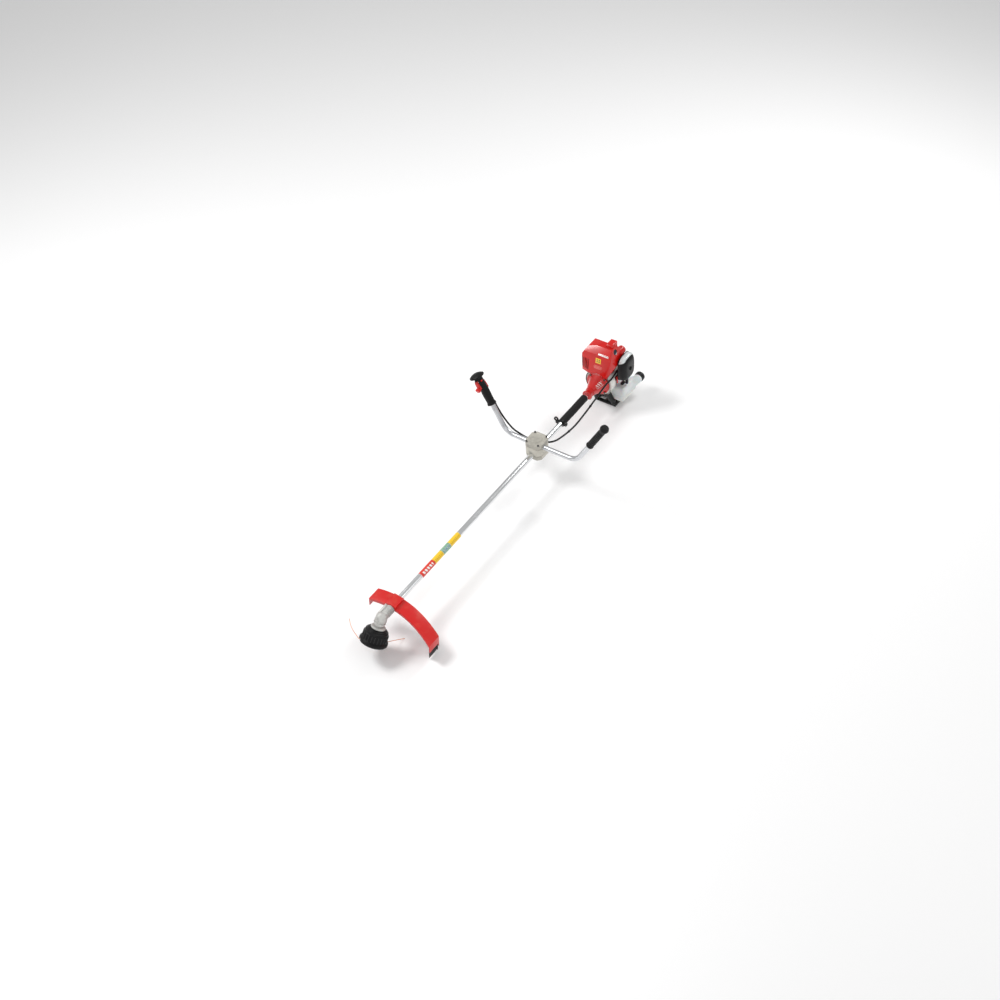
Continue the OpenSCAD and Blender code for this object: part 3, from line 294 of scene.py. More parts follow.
class Paint:
    """A material in the making: one surface shader and what feeds it."""

    def __init__(self, name, colour, roughness, metallic=0.0, **fixed):
        self.material = bpy.data.materials.new(name)
        self.material.use_nodes = True
        self.tree = self.material.node_tree
        self.surface = next(n for n in self.tree.nodes if n.type == "BSDF_PRINCIPLED")
        self.base = tuple(colour) + (1.0,)
        self.set("Base Color", self.base)
        self.set("Roughness", roughness)
        self.set("Metallic", metallic)
        for socket, value in fixed.items():
            self.set(socket.replace("_", " "), value)
        self.material.diffuse_color = self.base

    def set(self, socket, value):
        self._feed(self.surface.inputs[socket], value)

    def _feed(self, socket, value):
        if isinstance(value, Reading):
            self.tree.links.new(value.socket, socket)
        elif isinstance(value, bpy.types.NodeSocket):
            self.tree.links.new(value, socket)
        else:
            socket.default_value = value

    def node(self, kind, settings=None, inputs=None):
        node = self.tree.nodes.new(kind)
        for name, value in (settings or {}).items():
            setattr(node, name, value)
        for name, value in (inputs or {}).items():
            self._feed(node.inputs[name], value)
        return node

    def place(self, centre=(0, 0, 0), turned_by=(0, 0, 0), stretch=(1, 1, 1)):
        """Object coordinates, centred, turned and stretched."""
        spot = self.node("ShaderNodeTexCoord").outputs["Object"]
        moved = self.node("ShaderNodeMapping", {"vector_type": "TEXTURE"},
                          {"Vector": spot, "Location": centre, "Rotation": turned_by})
        return self.node("ShaderNodeVectorMath", {"operation": "MULTIPLY"},
                         {0: moved.outputs[0], 1: stretch}).outputs[0]

    def axes(self, *placing, **more):
        """The three coordinates as readings."""
        split = self.node("ShaderNodeSeparateXYZ", None, {0: self.place(*placing, **more)})
        return [Reading(self, out) for out in split.outputs]

    def noise(self, scale, detail=3.0, rough=0.5, stretch=(1, 1, 1)):
        node = self.node(
            "ShaderNodeTexNoise", None,
            {"Vector": self.place(stretch=stretch), "Scale": scale, "Detail": detail, "Roughness": rough},
        )
        return Reading(self, node.outputs[0])

    def cells(self, scale, feature="F1", stretch=(1, 1, 1)):
        node = self.node("ShaderNodeTexVoronoi", {"feature": feature},
                         {"Vector": self.place(stretch=stretch), "Scale": scale})
        return Reading(self, node.outputs["Distance"])

    def edge(self):
        """How sharply the surface turns outwards: about 0.5 where flat."""
        return Reading(self, self.node("ShaderNodeNewGeometry").outputs["Pointiness"])

    def facing_up(self):
        split = self.node("ShaderNodeSeparateXYZ", None,
                          {0: self.node("ShaderNodeNewGeometry").outputs["Normal"]})
        return Reading(self, split.outputs[2])

    def blend(self, a, b, factor):
        """Colour a where factor is 0 and b where it is 1."""
        node = self.node("ShaderNodeMix", {"data_type": "RGBA"}, {0: factor})
        for socket, value in ((node.inputs[6], a), (node.inputs[7], b)):
            self._feed(socket, tuple(value) + (1.0,) if isinstance(value, (tuple, list, Vector))
                       and len(value) == 3 else value)
        return node.outputs[2]

    def bump(self, height, depth, strength=1.0):
        node = self.node("ShaderNodeBump", None,
                         {"Height": height, "Distance": depth, "Strength": strength})
        self.set("Normal", node.outputs[0])


def shaded(colour, k):
    return tuple(min(1.0, c * k) for c in colour)


def colour_of(name):
    return tuple(getattr(context_sizes("colours"), name))


_finishes = {}


def finish(maker):
    """Makes each material once, the first time a piece asks for it."""

    def get():
        if maker.__name__ not in _finishes:
            _finishes[maker.__name__] = maker().material
        return _finishes[maker.__name__]

    return get


# ---- finishes ----
@finish
def gloss_red():
    red = colour_of("red")
    p = Paint("gloss_red", red, 0.2, Coat_Weight=0.25, Coat_Roughness=0.06, Specular_IOR_Level=0.4)
    cloud, fine = p.noise(9.0, 2.0), p.noise(900.0, 2.0)
    # Convex edges are lifted to a brighter copy of the red: partly edge wear, partly a painted highlight along the
    # edges and creases.
    worn = p.edge().ramp(0.53, 0.60)
    p.set("Base Color", p.blend(p.blend(red, shaded(red, 0.82), cloud.ramp(0.35, 0.7)), shaded(red, 1.5),
                                worn * 0.35))
    p.set("Roughness", 0.17 + 0.10 * cloud + 0.05 * p.noise(60.0, 4.0, 0.7))
    p.bump(p.noise(24.0, 1.0) + 0.03 * fine, 0.0005, 0.25)
    return p


@finish
def cone_red():
    """Painted metal of the clutch housing, with plain white bars printed on its upper left."""
    red = colour_of("red")
    p = Paint("cone_red", red, 0.24, Coat_Weight=0.5, Coat_Roughness=0.1)
    x, y, z = p.axes((0, 0, AXIS_Z))
    round_it = y.angle_from(z)
    slant = ((x + 0.010 * round_it) / 0.0095).fraction()
    bars = x.inside(0.078, 0.112) * round_it.inside(0.55, 0.98, 0.01) * slant.ramp(0.50, 0.56)
    stripe = x.inside(0.078, 0.112) * round_it.inside(1.08, 1.14, 0.01)
    wear = p.edge().ramp(0.53, 0.60)
    body = p.blend(red, shaded(red, 0.75), p.noise(12.0, 2.0).ramp(0.35, 0.75))
    body = p.blend(body, (0.75, 0.73, 0.70), (bars + stripe).clamped() * 0.85)
    p.set("Base Color", p.blend(body, (0.55, 0.50, 0.48),
                                wear * p.noise(140.0, 3.0).ramp(0.45, 0.62) * 0.6))
    p.set("Roughness", 0.22 + 0.14 * p.noise(30.0, 3.0))
    p.bump(p.noise(420.0, 3.0) + p.noise(60.0, 2.0), 0.0004, 0.25)
    return p


@finish
def guard_red():
    """Moulded guard plastic: less gloss, grass dust low down and fine scratches."""
    red = colour_of("red")
    p = Paint("guard_red", red, 0.34, Coat_Weight=0.25, Coat_Roughness=0.2)
    scratch = p.noise(55.0, 6.0, 0.75, (0.2, 1.0, 2.5)).ramp(0.60, 0.66)
    dust = p.facing_up().ramp(0.1, 0.95) * p.noise(35.0, 4.0).ramp(0.45, 0.75)
    p.set("Base Color", p.blend(p.blend(red, shaded(red, 1.35), scratch * 0.4), (0.62, 0.20, 0.12),
                                dust * 0.16))
    p.set("Roughness", 0.27 + 0.16 * p.noise(26.0, 3.0) + 0.1 * scratch)
    p.bump(p.noise(700.0, 2.0) + 0.6 * p.noise(40.0, 2.0), 0.0005, 0.3)
    return p


@finish
def deep_red():
    red = colour_of("deep_red")
    p = Paint("deep_red", red, 0.4)
    p.set("Base Color", p.blend(red, shaded(red, 0.6), p.noise(40.0).ramp(0.4, 0.7)))
    p.bump(p.noise(800.0, 2.0), 0.0003, 0.3)
    return p


@finish
def button_red():
    red = shaded(colour_of("red"), 0.95)
    p = Paint("button_red", red, 0.3, Coat_Weight=0.2)
    # Convex edges are lifted to a brighter copy of the red: partly edge wear, partly a painted highlight on the
    # edges.
    worn = p.edge().ramp(0.52, 0.58)
    p.set("Base Color", p.blend(red, shaded(red, 1.5), worn * 0.4))
    p.set("Roughness", 0.24 + 0.16 * p.noise(80.0, 3.0))
    p.bump(p.noise(900.0, 2.0), 0.0003, 0.25)
    return p


@finish
def moulded_black():
    """Black plastic with a fine spark-eroded grain and paler rubbed edges."""
    black = colour_of("black")
    p = Paint("moulded_black", black, 0.42, Specular_IOR_Level=0.22)
    worn = p.edge().ramp(0.53, 0.60)
    dust = p.facing_up().ramp(0.3, 1.0) * p.noise(50.0, 4.0).ramp(0.5, 0.8)
    p.set("Base Color", p.blend(p.blend(black, (0.045, 0.045, 0.047), worn * 0.6), (0.06, 0.057, 0.05),
                                dust * 0.12))
    p.set("Roughness", 0.36 + 0.14 * p.noise(28.0, 3.0))
    p.bump(p.cells(1500.0) + 0.4 * p.noise(260.0, 3.0), 0.00035, 0.45)
    return p


@finish
def grip_rubber():
    p = Paint("grip_rubber", (0.008, 0.008, 0.009), 0.6, Specular_IOR_Level=0.2, Sheen_Weight=0.05)
    p.set("Base Color", p.blend((0.006, 0.006, 0.007), (0.024, 0.0235, 0.023),
                                p.noise(38.0, 4.0).ramp(0.45, 0.8)))
    p.set("Roughness", 0.50 + 0.22 * p.noise(70.0, 3.0))
    p.bump(p.cells(1100.0) + p.noise(350.0, 3.0), 0.0004, 0.5)
    return p


@finish
def foam_black():
    """Closed-cell foam: small open pores, painted darker as shade inside them, and a dull skin."""
    p = Paint("foam_black", (0.008, 0.008, 0.0085), 0.86, Specular_IOR_Level=0.15, Sheen_Weight=0.06,
              Sheen_Roughness=0.5)
    # The pores are painted darker than the skin: painted shade inside the pores; the same mask also drives the
    # bump.
    pores = p.cells(620.0).ramp(0.08, 0.32)
    p.set("Base Color", p.blend((0.003, 0.003, 0.003), (0.017, 0.0165, 0.017), pores))
    p.bump(pores * 0.8 + 0.9 * p.noise(90.0, 4.0), 0.0008, 0.6)
    return p


@finish
def cable_black():
    p = Paint("cable_black", (0.006, 0.006, 0.0065), 0.33, Specular_IOR_Level=0.3)
    p.set("Roughness", 0.28 + 0.16 * p.noise(45.0, 3.0))
    p.bump(p.noise(300.0, 2.0), 0.0003, 0.3)
    return p


@finish
def stand_black():
    p = Paint("stand_black", (0.007, 0.007, 0.0075), 0.38, Specular_IOR_Level=0.25)
    chip = p.edge().ramp(0.53, 0.60) * p.noise(160.0, 3.0).ramp(0.48, 0.62)
    p.set("Base Color", p.blend((0.007, 0.007, 0.0075), (0.32, 0.31, 0.30), chip * 0.5))
    p.bump(p.noise(500.0, 3.0), 0.0003, 0.35)
    return p


@finish
def polished_tube():
    """Drawn aluminium tube with its printed band: a red block, then yellow with a small coloured patch."""
    p = Paint("polished_tube", (0.83, 0.84, 0.85), 0.2, 1.0)
    x, y, z = p.axes((0, 0, AXIS_Z))
    round_it = y.angle_from(z)
    drawn = p.noise(900.0, 3.0, 0.6, (0.02, 1.0, 1.0))
    red_band, yellow_band, patch = x.inside(1.302, 1.387), x.inside(1.131, 1.302), x.inside(1.196, 1.246)
    cut = ((x + 0.0035 * round_it) / 0.0145).fraction()
    lane = abs(round_it - 0.7)
    marks = red_band * x.inside(1.312, 1.378) * cut.ramp(0.36, 0.42) * (1.0 - lane.ramp(0.42, 0.48))
    strips = yellow_band * ((x / 0.0085).fraction() < 0.22) * (1.0 - lane.ramp(0.30, 0.36)) * (1.0 - patch)
    blocks = patch * ((x / 0.0125).fraction() > 0.5)
    label = (red_band + yellow_band).clamped()
    ink = p.blend((0.83, 0.84, 0.85), colour_of("label"), yellow_band)
    ink = p.blend(ink, (0.70, 0.035, 0.015), red_band)
    ink = p.blend(ink, (0.88, 0.88, 0.86), marks)
    ink = p.blend(ink, (0.30, 0.16, 0.02), strips * 0.8)
    ink = p.blend(ink, (0.04, 0.30, 0.14), patch)
    ink = p.blend(ink, (0.10, 0.22, 0.42), blocks * (lane < 0.5))
    ink = p.blend(ink, (0.80, 0.80, 0.72), patch * ((lane * 3.1 + x * 60.0).fraction() < 0.28))
    smudge = p.noise(14.0, 4.0).ramp(0.4, 0.8)
    p.set("Base Color", p.blend(ink, (0.62, 0.63, 0.65), (1.0 - label) * smudge * 0.3))
    p.set("Metallic", 1.0 - label)
    p.set("Roughness", 0.15 + 0.12 * drawn + 0.10 * smudge + 0.14 * label)
    p.set("Coat Weight", 0.35 * label)
    p.bump(drawn + 2.0 * label, 0.00012, 0.35)
    return p


@finish
def satin_bar():
    """Anodised bar tube, bead-blasted dull."""
    p = Paint("satin_bar", (0.66, 0.67, 0.69), 0.33, 1.0)
    p.set("Base Color", p.blend((0.66, 0.67, 0.69), (0.50, 0.51, 0.53), p.noise(22.0, 4.0).ramp(0.4, 0.8)))
    p.set("Roughness", 0.27 + 0.14 * p.noise(120.0, 4.0))
    p.bump(p.noise(1400.0, 2.0), 0.0002, 0.25)
    return p


def casting(name, colour, metallic, rough):
    """Die-cast alloy: pebbled skin, painted shade in the hollows, brighter rubbed edges."""
    p = Paint(name, colour, rough, metallic)
    edge = p.edge()
    skin = p.blend(colour, shaded(colour, 0.72), p.noise(30.0, 5.0, 0.6).ramp(0.38, 0.75))
    # Concave places take a darker copy of the same colour: painted shade in the hollows.
    skin = p.blend(skin, shaded(colour, 0.45), edge.ramp(0.42, 0.48, 1.0, 0.0) * 0.6)
    p.set("Base Color", p.blend(skin, shaded(colour, 1.35), edge.ramp(0.53, 0.60) * 0.7))
    p.set("Roughness", rough + 0.16 * (p.noise(90.0, 3.0) - 0.5))
    p.bump(p.cells(420.0) + p.noise(180.0, 4.0), 0.0005, 0.4)
    return p


@finish
def cast_alloy():
    return casting("cast_alloy", colour_of("cast"), 0.55, 0.5)


@finish
def clamp_grey():
    return casting("clamp_grey", colour_of("clamp"), 0.1, 0.55)


@finish
def machined_steel():
    p = Paint("machined_steel", (0.46, 0.46, 0.47), 0.3, 1.0)
    p.set("Roughness", 0.24 + 0.18 * p.noise(500.0, 3.0, 0.5, (1.0, 1.0, 0.15)))
    p.bump(p.noise(900.0, 2.0, 0.5, (1.0, 1.0, 0.1)), 0.0002, 0.25)
    return p


@finish
def bright_steel():
    p = Paint("bright_steel", (0.72, 0.72, 0.73), 0.2, 1.0)
    p.set("Roughness", 0.14 + 0.16 * p.noise(200.0, 3.0))
    return p


@finish
def black_oxide():
    p = Paint("black_oxide", (0.055, 0.055, 0.060), 0.35, 1.0)
    p.set("Base Color", p.blend((0.05, 0.05, 0.055), (0.28, 0.27, 0.26), p.edge().ramp(0.52, 0.6) * 0.7))
    p.set("Roughness", 0.28 + 0.2 * p.noise(300.0, 2.0))
    return p


@finish
def hot_steel():
    """Muffler sheet, browned by heat towards its outlet."""
    p = Paint("hot_steel", (0.42, 0.40, 0.38), 0.42, 1.0)
    burnt = p.noise(26.0, 4.0).ramp(0.4, 0.7)
    p.set("Base Color", p.blend((0.45, 0.44, 0.43), (0.26, 0.17, 0.11), burnt * 0.75))
    p.set("Roughness", 0.34 + 0.22 * p.noise(70.0, 4.0))
    p.bump(p.noise(160.0, 4.0), 0.0005, 0.3)
    return p


@finish
def milky_tank():
    """Blow-moulded tank: cloudy, faintly see-through, with its parting line."""
    milk = colour_of("tank")
    p = Paint("milky_tank", milk, 0.36, Subsurface_Weight=0.25, Subsurface_Scale=0.01,
              Specular_IOR_Level=0.4)
    x, y, z = p.axes()
    parting = z.inside(0.0642, 0.0652, 0.0002)
    fuel = z.ramp(0.052, 0.060, 1.0, 0.0)
    wall = p.blend(milk, shaded(milk, 0.90), p.noise(18.0, 3.0).ramp(0.4, 0.75))
    p.set("Base Color", p.blend(p.blend(wall, (0.74, 0.70, 0.64), fuel * 0.45), shaded(milk, 0.6),
                                parting * 0.6))
    p.set("Roughness", 0.30 + 0.14 * p.noise(50.0, 3.0))
    p.bump(p.noise(45.0, 2.0) + 3.0 * parting + 0.2 * p.noise(600.0, 2.0), 0.0006, 0.35)
    return p


@finish
def line_nylon():
    line = colour_of("line")
    p = Paint("line_nylon", line, 0.34, Subsurface_Weight=0.1, Subsurface_Scale=0.002)
    p.set("Base Color", p.blend(line, shaded(line, 0.7), p.noise(120.0, 3.0).ramp(0.4, 0.7)))
    return p


@finish
def boot_rubber():
    p = Paint("boot_rubber", (0.008, 0.016, 0.034), 0.28, Specular_IOR_Level=0.6)
    p.set("Roughness", 0.24 + 0.2 * p.noise(90.0, 3.0))
    p.bump(p.noise(200.0, 2.0), 0.0004, 0.3)
    return p


@finish
def glazed_white():
    p = Paint("glazed_white", (0.82, 0.80, 0.75), 0.15, Coat_Weight=0.5)
    p.set("Base Color", p.blend((0.82, 0.80, 0.75), (0.60, 0.55, 0.46), p.noise(90.0, 4.0).ramp(0.5, 0.8)))
    return p


# A pale glossy grey-cyan: a painted reflection of the overhead light, laid over the black filter box.
@finish
def pale_gloss():
    p = Paint("pale_gloss", (0.62, 0.66, 0.66), 0.16, Coat_Weight=0.8, Coat_Roughness=0.05)
    p.set("Base Color", p.blend((0.66, 0.70, 0.70), (0.45, 0.49, 0.49),
                                p.noise(26.0, 3.0).ramp(0.35, 0.75)))
    p.set("Roughness", 0.12 + 0.14 * p.noise(60.0, 3.0))
    return p


@finish
def soft_bulb():
    p = Paint("soft_bulb", (0.70, 0.66, 0.52), 0.25, Subsurface_Weight=0.3, Subsurface_Scale=0.003,
              Coat_Weight=0.2)
    p.set("Roughness", 0.2 + 0.15 * p.noise(90.0, 3.0))
    return p


@finish
def label_yellow():
    """A yellow caution square with two plain dark blocks."""
    yellow = colour_of("label")
    p = Paint("label_yellow", yellow, 0.3, Coat_Weight=0.4)
    x, y, z = p.axes((0.060, -0.001, 0.2825))
    block = y.inside(-0.0085, -0.0012) + y.inside(0.0018, 0.0085)
    dark = (block * z.inside(-0.0078, 0.0078) * (1.0 - z.inside(-0.0008, 0.0008))).clamped()
    p.set("Base Color", p.blend(yellow, (0.13, 0.10, 0.03), dark * 0.85))
    p.set("Roughness", 0.26 + 0.12 * p.noise(90.0, 2.0))
    return p


# A white bar with slanted red marks: a painted highlight along the cover's front top edge.
@finish
def label_white():
    p = Paint("label_white", (0.84, 0.82, 0.80), 0.26, Coat_Weight=0.4)
    x, y, z = p.axes()
    bars = ((y + 0.35 * z) / 0.0105).fraction().ramp(0.30, 0.36) * z.inside(0.3135, 0.3225)
    p.set("Base Color", p.blend((0.84, 0.82, 0.80), (0.62, 0.05, 0.03), bars * 0.75))
    return p


@finish
def label_faint():
    """Faint pale print: rows of short bars on red."""
    red = colour_of("red")
    p = Paint("label_faint", red, 0.22, Coat_Weight=0.5)
    x, y, z = p.axes()
    rows = (z / 0.0062).fraction().inside(0.30, 0.70, 0.05)
    dashes = ((y + 0.3 * z) / 0.0048).fraction().ramp(0.35, 0.45)
    p.set("Base Color", p.blend(red, (0.78, 0.42, 0.36), rows * dashes * 0.75))
    return p


@finish
def pale_floor():
    p = Paint("pale_floor", (0.97, 0.97, 0.97), 0.65, Specular_IOR_Level=0.15)
    return p


# ---- mesh making; local shapes are drawn in millimetres ----
def rounded(profile, radius, steps=4, closed=False):
    """The profile with its corners turned into short curves."""
    points = [Vector(p) for p in profile]
    out = []
    for i, here in enumerate(points):
        if not closed and i in (0, len(points) - 1):
            out.append(here)
            continue
        before, after = points[i - 1], points[(i + 1) % len(points)]
        reach = min(radius, (before - here).length * 0.48, (after - here).length * 0.48)
        start, end = here + (before - here).normalized() * reach, here + (after - here).normalized() * reach
        for k in range(steps + 1):
            t = k / steps
            out.append(start * (1 - t) ** 2 + here * 2 * t * (1 - t) + end * t * t)
    return out


def lofted(bm, rings, closed_loop=False, cap_ends=True):
    """Skins a run of equal rings of points; a ring of one point closes to a pole."""
    made = [[bm.verts.new(p) for p in ring] for ring in rings]
    pairs = list(zip(made, made[1:])) + ([(made[-1], made[0])] if closed_loop else [])
    for a, b in pairs:
        n = max(len(a), len(b))
        for i in range(n):
            j = (i + 1) % n
            corners = [a[i % len(a)], a[j % len(a)], b[j % len(b)], b[i % len(b)]]
            corners = [v for k, v in enumerate(corners) if v not in corners[:k]]
            if len(corners) > 2:
                bm.faces.new(corners)
    if cap_ends and not closed_loop:
        for ring in (made[0], made[-1]):
            if len(ring) > 2:
                bm.faces.new(ring)
    return bm


def turned(bm, profile, frame, steps=64, wave=None):
    """Turns a profile of (radius, height) about the frame's Z; wave(angle, radius, height) may move the radius."""
    place = frame @ Matrix.Scale(MM, 4)
    closed = (Vector(profile[0])
              - Vector(profile[-1])).length > 1e-6 and profile[0][0] > 1e-6 and profile[-1][0] > 1e-6
    rings = []
    for r, z in profile:
        if r < 1e-6:
            rings.append([place @ Vector((0, 0, z))])
            continue
        ring = []
        for i in range(steps):
            a = math.tau * i / steps
            q = wave(a, r, z) if wave else r
            ring.append(place @ Vector((q * math.cos(a), q * math.sin(a), z)))
        rings.append(ring)
    return lofted(bm, rings, closed_loop=closed, cap_ends=False)


def squircle(wide, deep, power=2.6, steps=40, shift_x=0.0, shift_y=0.0, z=0.0):
    """A rounded-rectangle ring at height z."""
    ring = []
    for i in range(steps):
        c, s = math.cos(math.tau * i / steps), math.sin(math.tau * i / steps)
        ring.append(
            Vector((
                shift_x + wide * math.copysign(abs(c) ** (2 / power), c),
                shift_y + deep * math.copysign(abs(s) ** (2 / power), s),
                z,
            ))
        )
    return ring


def smoothed(points, per_span):
    """A curve through the points, with its ends held."""
    out = []
    for i in range(len(points) - 1):
        a, b = Vector(points[max(i - 1, 0)]), Vector(points[i])
        c, d = Vector(points[i + 1]), Vector(points[min(i + 2, len(points) - 1)])
        for j in range(per_span):
            t = j / per_span
            out.append(
                0.5 * (2 * b + (c - a) * t + (2 * a - 5 * b + 4 * c - d) * t * t + (3 * b - a - 3 * c + d)
                       * t ** 3)
            )
    return out + [Vector(points[-1])]


def swept(bm, path, radius, steps=14, taper=None):
    """A round rod along a path, with domed ends."""
    rings, side = [], None
    for i, p in enumerate(path):
        along = (path[min(i + 1, len(path) - 1)] - path[max(i - 1, 0)]).normalized()
        side = along.orthogonal() if side is None else side - along * side.dot(along)
        side.normalize()
        across = along.cross(side)
        r = radius * (taper(i / (len(path) - 1)) if taper else 1.0)
        rings.append([p + (side * math.cos(a) + across * math.sin(a)) * r
                      for a in (math.tau * k / steps for k in range(steps))])
    return lofted(bm, [[path[0]]] + rings + [[path[-1]]], cap_ends=False)


def block(bm, low_corner, high_corner, frame=None):
    """A plain block between two corners, in millimetres of the frame."""
    place = (frame or Matrix.Identity(4)) @ Matrix.Scale(MM, 4)
    (x0, y0, z0), (x1, y1, z1) = low_corner, high_corner
    rings = [[place @ Vector((x, y, z)) for x, y in ((x0, y0), (x1, y0), (x1, y1), (x0, y1))]
             for z in (z0, z1)]
    return lofted(bm, rings)


def as_mesh(bm, name, smooth_angle=38):
    """Closes the work: merges doubles, faces outward, smooth except at sharp edges."""
    bmesh.ops.remove_doubles(bm, verts=bm.verts, dist=1e-6)
    bmesh.ops.dissolve_degenerate(bm, dist=1e-7, edges=bm.edges)
    bmesh.ops.recalc_face_normals(bm, faces=bm.faces)
    mesh = bpy.data.meshes.new(name)
    bm.to_mesh(mesh)
    bm.free()
    mesh.shade_smooth()
    mesh.set_sharp_from_angle(angle=math.radians(smooth_angle))
    return mesh


def shown(name, mesh, body, slot, material, *stands_for):
    """Puts a mesh in the scene as a piece of the trimmer."""
    obj = bpy.data.objects.new(name, mesh)
    bpy.context.scene.collection.objects.link(obj)
    if material is not None:
        mesh.materials.clear()
        mesh.materials.append(material)
    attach(obj, body)
    if stands_for:
        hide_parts(*stands_for)
    return obj


def settled(obj):
    """The object's evaluated shape as a plain mesh; the helper object goes."""
    bpy.context.view_layer.update()
    seen = obj.evaluated_get(bpy.context.evaluated_depsgraph_get())
    mesh = bpy.data.meshes.new_from_object(seen, preserve_all_data_layers=True,
                                           depsgraph=bpy.context.evaluated_depsgraph_get())
    bpy.data.objects.remove(obj)
    return mesh


def helper(name, mesh):
    obj = bpy.data.objects.new(name, mesh)
    bpy.context.scene.collection.objects.link(obj)
    return obj


def softened(name, bm, edge, segments=3, sharp=32, smooth_angle=38):
    """The shape with its sharp edges rounded."""
    obj = helper(name, as_mesh(bm, name))
    bevel = obj.modifiers.new("edges", "BEVEL")
    bevel.width, bevel.segments, bevel.limit_method = edge, segments, "ANGLE"
    bevel.angle_limit, bevel.use_clamp_overlap, bevel.miter_outer = math.radians(sharp), True, "MITER_ARC"
    mesh = settled(obj)
    mesh.name = name
    bm = bmesh.new()
    bm.from_mesh(mesh)
    return as_mesh(bm, name, smooth_angle)


def node_shape(node):
    """A CAD node's shape, with its flat faces whole again."""
    bm = bmesh.new()
    bm.from_mesh(frame["nodes"][node].data)
    bmesh.ops.remove_doubles(bm, verts=bm.verts, dist=2e-5)
    bmesh.ops.dissolve_limit(bm, angle_limit=math.radians(0.6), verts=bm.verts, edges=bm.edges)
    return bm


def skin(node, material, edge=0.0008, segments=2, slot=None):
    """Stands a softer-edged copy in for a CAD node."""
    mesh = softened(node + "_skin", node_shape(node), edge, segments) if edge else as_mesh(node_shape(node),
            node + "_skin")
    return shown(node + "_skin", mesh, body_of(node), slot or slot_of(node), material, node)


def body_of(node):
    return next(b for b, nodes in frame["record"]["behaviour"]["bodies"].items() if node in nodes)


def slot_of(node):
    return next(s["material_slot"] for s in frame["record"]["subparts"] if s["node"] == node)


# ---- repeated and piped shapes, as Geometry Nodes ----
class Recipe:
    """A Geometry Nodes tree with named inputs that makes one plain mesh."""

    def __init__(self, name):
        self.tree = bpy.data.node_groups.new(name, "GeometryNodeTree")
        self.tree.interface.new_socket("Geometry", in_out="INPUT", socket_type="NodeSocketGeometry")
        self.tree.interface.new_socket("Geometry", in_out="OUTPUT", socket_type="NodeSocketGeometry")
        self.given = self.tree.nodes.new("NodeGroupInput")
        self.result = self.tree.nodes.new("NodeGroupOutput")

    def ask(self, name, kind):
        self.tree.interface.new_socket(name, in_out="INPUT", socket_type="NodeSocket" + kind)
        return self.given.outputs[name]

    def node(self, kind, settings=None, inputs=None, out=0):
        node = self.tree.nodes.new(kind)
        for name, value in (settings or {}).items():
            setattr(node, name, value)
        for name, value in (inputs or {}).items():
            if isinstance(value, bpy.types.NodeSocket):
                self.tree.links.new(value, node.inputs[name])
            else:
                node.inputs[name].default_value = value
        return node.outputs[out]

    def close(self, geometry):
        whole = self.node("GeometryNodeRealizeInstances", None, {0: geometry})
        painted = self.node("GeometryNodeSetMaterial", None,
                            {"Geometry": whole, "Material": self.ask("Material", "Material")})
        self.tree.links.new(painted, self.result.inputs[0])
        return self

    def made(self, name, source, **values):
        """Runs the tree on a source mesh and hands back the plain mesh."""
        obj = helper(name, source)
        run = obj.modifiers.new("recipe", "NODES")
        for item in self.tree.interface.items_tree:
            if item.in_out == "INPUT" and item.name.replace(" ", "_") in values:
                run[item.identifier] = values[item.name.replace(" ", "_")]
        run.node_group = self.tree
        for item in self.tree.interface.items_tree:
            if item.in_out == "INPUT" and item.name.replace(" ", "_") in values:
                run[item.identifier] = values[item.name.replace(" ", "_")]
        return settled(obj)


def point_mesh(name, points, aims=None, join=False):
    """Bare points, each with its aim, or a line joining them."""
    mesh = bpy.data.meshes.new(name)
    mesh.from_pydata([tuple(p) for p in points],
                     [(i, i + 1) for i in range(len(points) - 1)] if join else [], [])
    if aims:
        held = mesh.attributes.new("aim", "FLOAT_VECTOR", "POINT")
        for i, aim in enumerate(aims):
            held.data[i].vector = aim
    return mesh


def piped_recipe():
    """A tube along a line of corners: the corners are filleted, then a round section runs along."""
    r = Recipe("piped")
    line = r.node("GeometryNodeMeshToCurve", None, {"Mesh": r.given.outputs["Geometry"]})
    bent = r.node(
        "GeometryNodeFilletCurve", {"mode": "POLY"},
        {"Curve": line, "Radius": r.ask("Bend", "Float"), "Count": r.ask("Steps", "Int"),
         "Limit Radius": True},
    )
    round_line = r.node("GeometryNodeCurvePrimitiveCircle", None,
                        {"Resolution": 40, "Radius": r.ask("Radius", "Float")})
    solid = r.node("GeometryNodeCurveToMesh", None,
                   {"Curve": bent, "Profile Curve": round_line, "Fill Caps": True})
    return r.close(solid)


def scattered_recipe():
    """The same shape on every point, its Z along the point's aim."""
    r = Recipe("scattered")
    aim = r.node("GeometryNodeInputNamedAttribute", {"data_type": "FLOAT_VECTOR"}, {"Name": "aim"})
    facing = r.node("FunctionNodeAlignRotationToVector", {"axis": "Z"}, {"Vector": aim})
    shape = r.node("GeometryNodeObjectInfo", None, {"Object": r.ask("Shape", "Object")}, out="Geometry")
    put = r.node("GeometryNodeInstanceOnPoints", None,
                 {"Points": r.given.outputs["Geometry"], "Instance": shape, "Rotation": facing})
    return r.close(put)


def crown_recipe():
    """Ribs standing round a circle, each turned outward."""
    r = Recipe("crown")
    circle = r.node("GeometryNodeMeshCircle", None,
                    {"Vertices": r.ask("Count", "Int"), "Radius": r.ask("Radius", "Float")})
    outward = r.node("FunctionNodeAlignRotationToVector", {"axis": "X"},
                     {"Vector": r.node("GeometryNodeInputPosition")})
    shape = r.node("GeometryNodeObjectInfo", None, {"Object": r.ask("Shape", "Object")}, out="Geometry")
    put = r.node("GeometryNodeInstanceOnPoints", None,
                 {"Points": circle, "Instance": shape, "Rotation": outward})
    return r.close(put)


